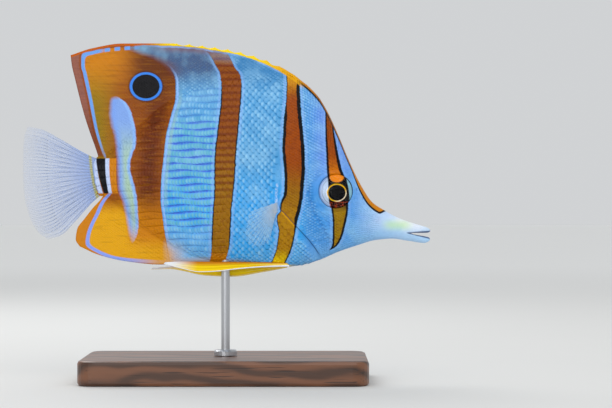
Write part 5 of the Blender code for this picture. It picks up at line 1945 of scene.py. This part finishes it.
class REEF_OT_pectoral_fins(bpy.types.Operator):
    """Makes the two clear pectoral fins with their rays and fleshy roots"""
    bl_idname = "reef.pectoral_fins"
    bl_label = "Pectoral fins"

    def execute(self, context):
        fins, c, skin = context.scene.reef_fins, context.scene.reef_colours, context.scene.reef_skin
        # The pectoral fins' white root is a painted highlight.
        material = clear_fin_material("pectoral fin", c.lit_blue, 0.50, 0.06, c.white)
        rods = ray_material("pectoral ray", c.lit_blue, 0.5)
        for word, side in SIDES:
            reach, fan = net(*PECTORAL_NET, -0.5, 0.5)
            middle = pectoral_place(side, reach, fan, skin)
            half = in_mm(fins.membrane) * (1 + 4 * np.exp(-(reach / 0.08) ** 2))
            name = "pectoral_fin_" + word + "_clear"
            add_piece(name, membrane_mesh(name, middle, half), material,
                      ("pectoral_fin_" + word,))
            rays = []
            for k in range(fins.pectoral_rays):
                at = -0.49 + 0.98 * k / (fins.pectoral_rays - 1)
                t = np.linspace(-0.02, 0.97, 16)
                rays.append((pectoral_place(side, t, np.full_like(t, at), skin), 0.15, 0.06))
            t = np.linspace(0, 1, 12)
            root_x, root_z = PECTORAL_ROOT
            inset = float(skin_half(np.array(root_x), np.array(root_z), skin))
            lobe = together(root_x + LOBE_AHEAD, side * (inset + 0.05),
                            root_z + (t - 0.5) * (PECTORAL_ROOT_HEIGHT + 0.2))
            rays.append((lobe, 0.42, 0.36))
            add_rods("pectoral_rays_" + word, rays, rods)
        return {"FINISHED"}


class REEF_OT_pelvic_fins(bpy.types.Operator):
    """Makes the two folded pelvic fins, of which the near one has a white spine"""
    bl_idname = "reef.pelvic_fins"
    bl_label = "Pelvic fins"

    def execute(self, context):
        c = context.scene.reef_colours
        material, white = pelvic_material(), ray_material("pelvic spine", c.white)
        yellow = ray_material("pelvic ray", c.yellow)
        for word, side in SIDES:
            t, across = net(*PELVIC_NET)
            middle = pelvic_place(word, side, t, across)
            name = "pelvic_fin_" + word + "_skin"
            add_piece(name, membrane_mesh(name, middle, np.full(t.shape, PELVIC_HALF)), material,
                      ("pelvic_fin_" + word,))
            run = np.linspace(0, 1, 40)
            spine = [(pelvic_place(word, side, run, np.zeros_like(run)), 0.36, 0.14)]
            soft = [(pelvic_place(word, side, run[:34], np.full(34, share)), 0.2, 0.08)
                    for share in (0.25, 0.45, 0.65, 0.85)]
            add_rods("pelvic_spine_" + word, spine, white if word == "right" else yellow)
            add_rods("pelvic_rays_" + word, soft, yellow)
        return {"FINISHED"}


class REEF_OT_lateral_line(bpy.types.Operator):
    """Adds the row of small pale tubes along each flank"""
    bl_idname = "reef.lateral_line"
    bl_label = "Lateral line"

    def execute(self, context):
        skin, material = context.scene.reef_skin, painted_ray_material()
        path = along(LATERAL_LINE)
        for word, side in SIDES:
            rays = []
            for k in range(LATERAL_TUBES):
                t = np.linspace(k / LATERAL_TUBES, (k + TUBE_SHARE) / LATERAL_TUBES, 4)
                spot = path(t)
                out = skin_half(spot[:, 0], spot[:, 1], skin) + np.linspace(0.12, 0.24, 4)
                rays.append((together(spot[:, 0], side * out, spot[:, 1]), 0.08, 0.13))
            add_rods("lateral_line_" + word, rays, material, 6)
        return {"FINISHED"}


class REEF_OT_eyes(bpy.types.Operator):
    """Makes both eyes: ball with iris and pupil, under a clear cornea"""
    bl_idname = "reef.eyes"
    bl_label = "Eyes"

    def execute(self, context):
        iris, clear = iris_material(), cornea_material()
        for word, side in SIDES:
            name = "eyeball_" + word
            add_piece(name, eye_mesh(name, eyeball_profile(), side), iris, ("eye_" + word,))
            name = "cornea_" + word
            shell = add_piece(name, eye_mesh(name, cornea_profile(), side), clear)
            shell.visible_shadow = False
        return {"FINISHED"}


class REEF_OT_stand(bpy.types.Operator):
    """Finishes the display stand in walnut and brushed steel"""
    bl_idname = "reef.stand"
    bl_label = "Stand"

    def execute(self, context):
        for node, material in (("stand_base", walnut_material(context.scene.reef_colours.walnut)),
                               ("stand_rod", steel_material())):
            for slot in frame["nodes"][node].material_slots:
                slot.material = material
        return {"FINISHED"}


class REEF_OT_stage(bpy.types.Operator):
    """Sets the pale floor, the soft studio lights and the camera"""
    bl_idname = "reef.stage"
    bl_label = "Stage"

    def execute(self, context):
        scene, stage = context.scene, context.scene.reef_stage
        floor = new_piece("floor", self.ground(),
                          self.floor_material(scene.reef_colours.backdrop, stage.ambient))
        for name, place, size in LAMPS:
            lamp = bpy.data.lights.new(name, "AREA")
            lamp.energy, lamp.size = getattr(stage, name + "_power"), size
            light = bpy.data.objects.new(name, lamp)
            light.location = place
            light.rotation_euler = (Vector(LIT_PLACE) - light.location).to_track_quat("-Z", "Y").to_euler()
            scene.collection.objects.link(light)
        room = bpy.data.worlds.new("room")
        room.use_nodes = True
        Graph(room.node_tree).fill(room.node_tree.nodes["Background"], Color=ROOM_TINT,
                                   Strength=stage.ambient)
        scene.world = room
        scene.view_settings.view_transform = "Standard"
        lens = bpy.data.cameras.new("photo view")
        lens.sensor_width = SENSOR_WIDTH
        lens.lens = SENSOR_WIDTH * stage.distance / (FRAME_WIDTH * MM)
        camera = bpy.data.objects.new("camera", lens)
        camera.location = (AIM_X * MM, -stage.distance, (AIM_Z + AXIS_HEIGHT) * MM)
        camera.rotation_euler = (math.pi / 2, 0, 0)
        scene.collection.objects.link(camera)
        scene.camera = camera
        return {"FINISHED"}

    @staticmethod
    def ground():
        """A wide round floor."""
        turn = np.linspace(0, 2 * np.pi, 97)[:-1]
        shape = bmesh.new()
        edge = [shape.verts.new((FLOOR_RADIUS * math.cos(a), FLOOR_RADIUS * math.sin(a), 0)) for a in turn]
        shape.faces.new(edge)
        mesh = bpy.data.meshes.new("floor")
        shape.to_mesh(mesh)
        shape.free()
        return mesh

    @staticmethod
    def floor_material(colour, room):
        """A pale floor that meets the room's light far away without an edge."""
        made, g, shader = new_material("studio floor")
        x, y, z = g.place()
        # Far from the fish the floor glows, more the farther it is, so that it fades into the room's light.
        g.fill(shader, Roughness=0.85, Specular_IOR_Level=0.1, Emission_Color=ROOM_TINT,
               Base_Color=g.mix(g.noise(60) * 0.3, colour[:], tuple(0.95 * k for k in colour)),
               Emission_Strength=far_off(x, y).rise(200, 1600) * room * 0.235)
        return made


class REEF_PT_panel(bpy.types.Panel):
    """Lists what can be made"""
    bl_idname = "REEF_PT_panel"
    bl_label = "Copperband Butterflyfish"
    bl_space_type = "VIEW_3D"
    bl_region_type = "UI"
    bl_category = "Reef Fish"

    def draw(self, context):
        for name in ("reef_skin", "reef_scales", "reef_fins", "reef_stage", "reef_colours"):
            box = self.layout.box()
            group = getattr(context.scene, name)
            for key in group.__annotations__:
                box.prop(group, key)
        for operator in OPERATORS:
            self.layout.operator(operator.bl_idname)


OPERATORS = (REEF_OT_skin, REEF_OT_scales, REEF_OT_lateral_line, REEF_OT_long_fins, REEF_OT_tail_fin,
             REEF_OT_pectoral_fins, REEF_OT_pelvic_fins, REEF_OT_eyes, REEF_OT_stand, REEF_OT_stage)
GROUPS = {"reef_skin": ReefSkinSettings, "reef_scales": ReefScaleSettings, "reef_fins": ReefFinSettings,
          "reef_colours": ReefColourSettings, "reef_stage": ReefStageSettings}


def register():
    for made in (*GROUPS.values(), *OPERATORS, REEF_PT_panel):
        bpy.utils.register_class(made)
    for name, group in GROUPS.items():
        setattr(bpy.types.Scene, name, bpy.props.PointerProperty(type=group))


def unregister():
    for name in GROUPS:
        delattr(bpy.types.Scene, name)
    for made in (REEF_PT_panel, *reversed(OPERATORS), *reversed(tuple(GROUPS.values()))):
        bpy.utils.unregister_class(made)


def main():
    register()
    for operator in OPERATORS:
        group, name = operator.bl_idname.split(".")
        getattr(getattr(bpy.ops, group), name)()


if __name__ == "__main__":
    main()
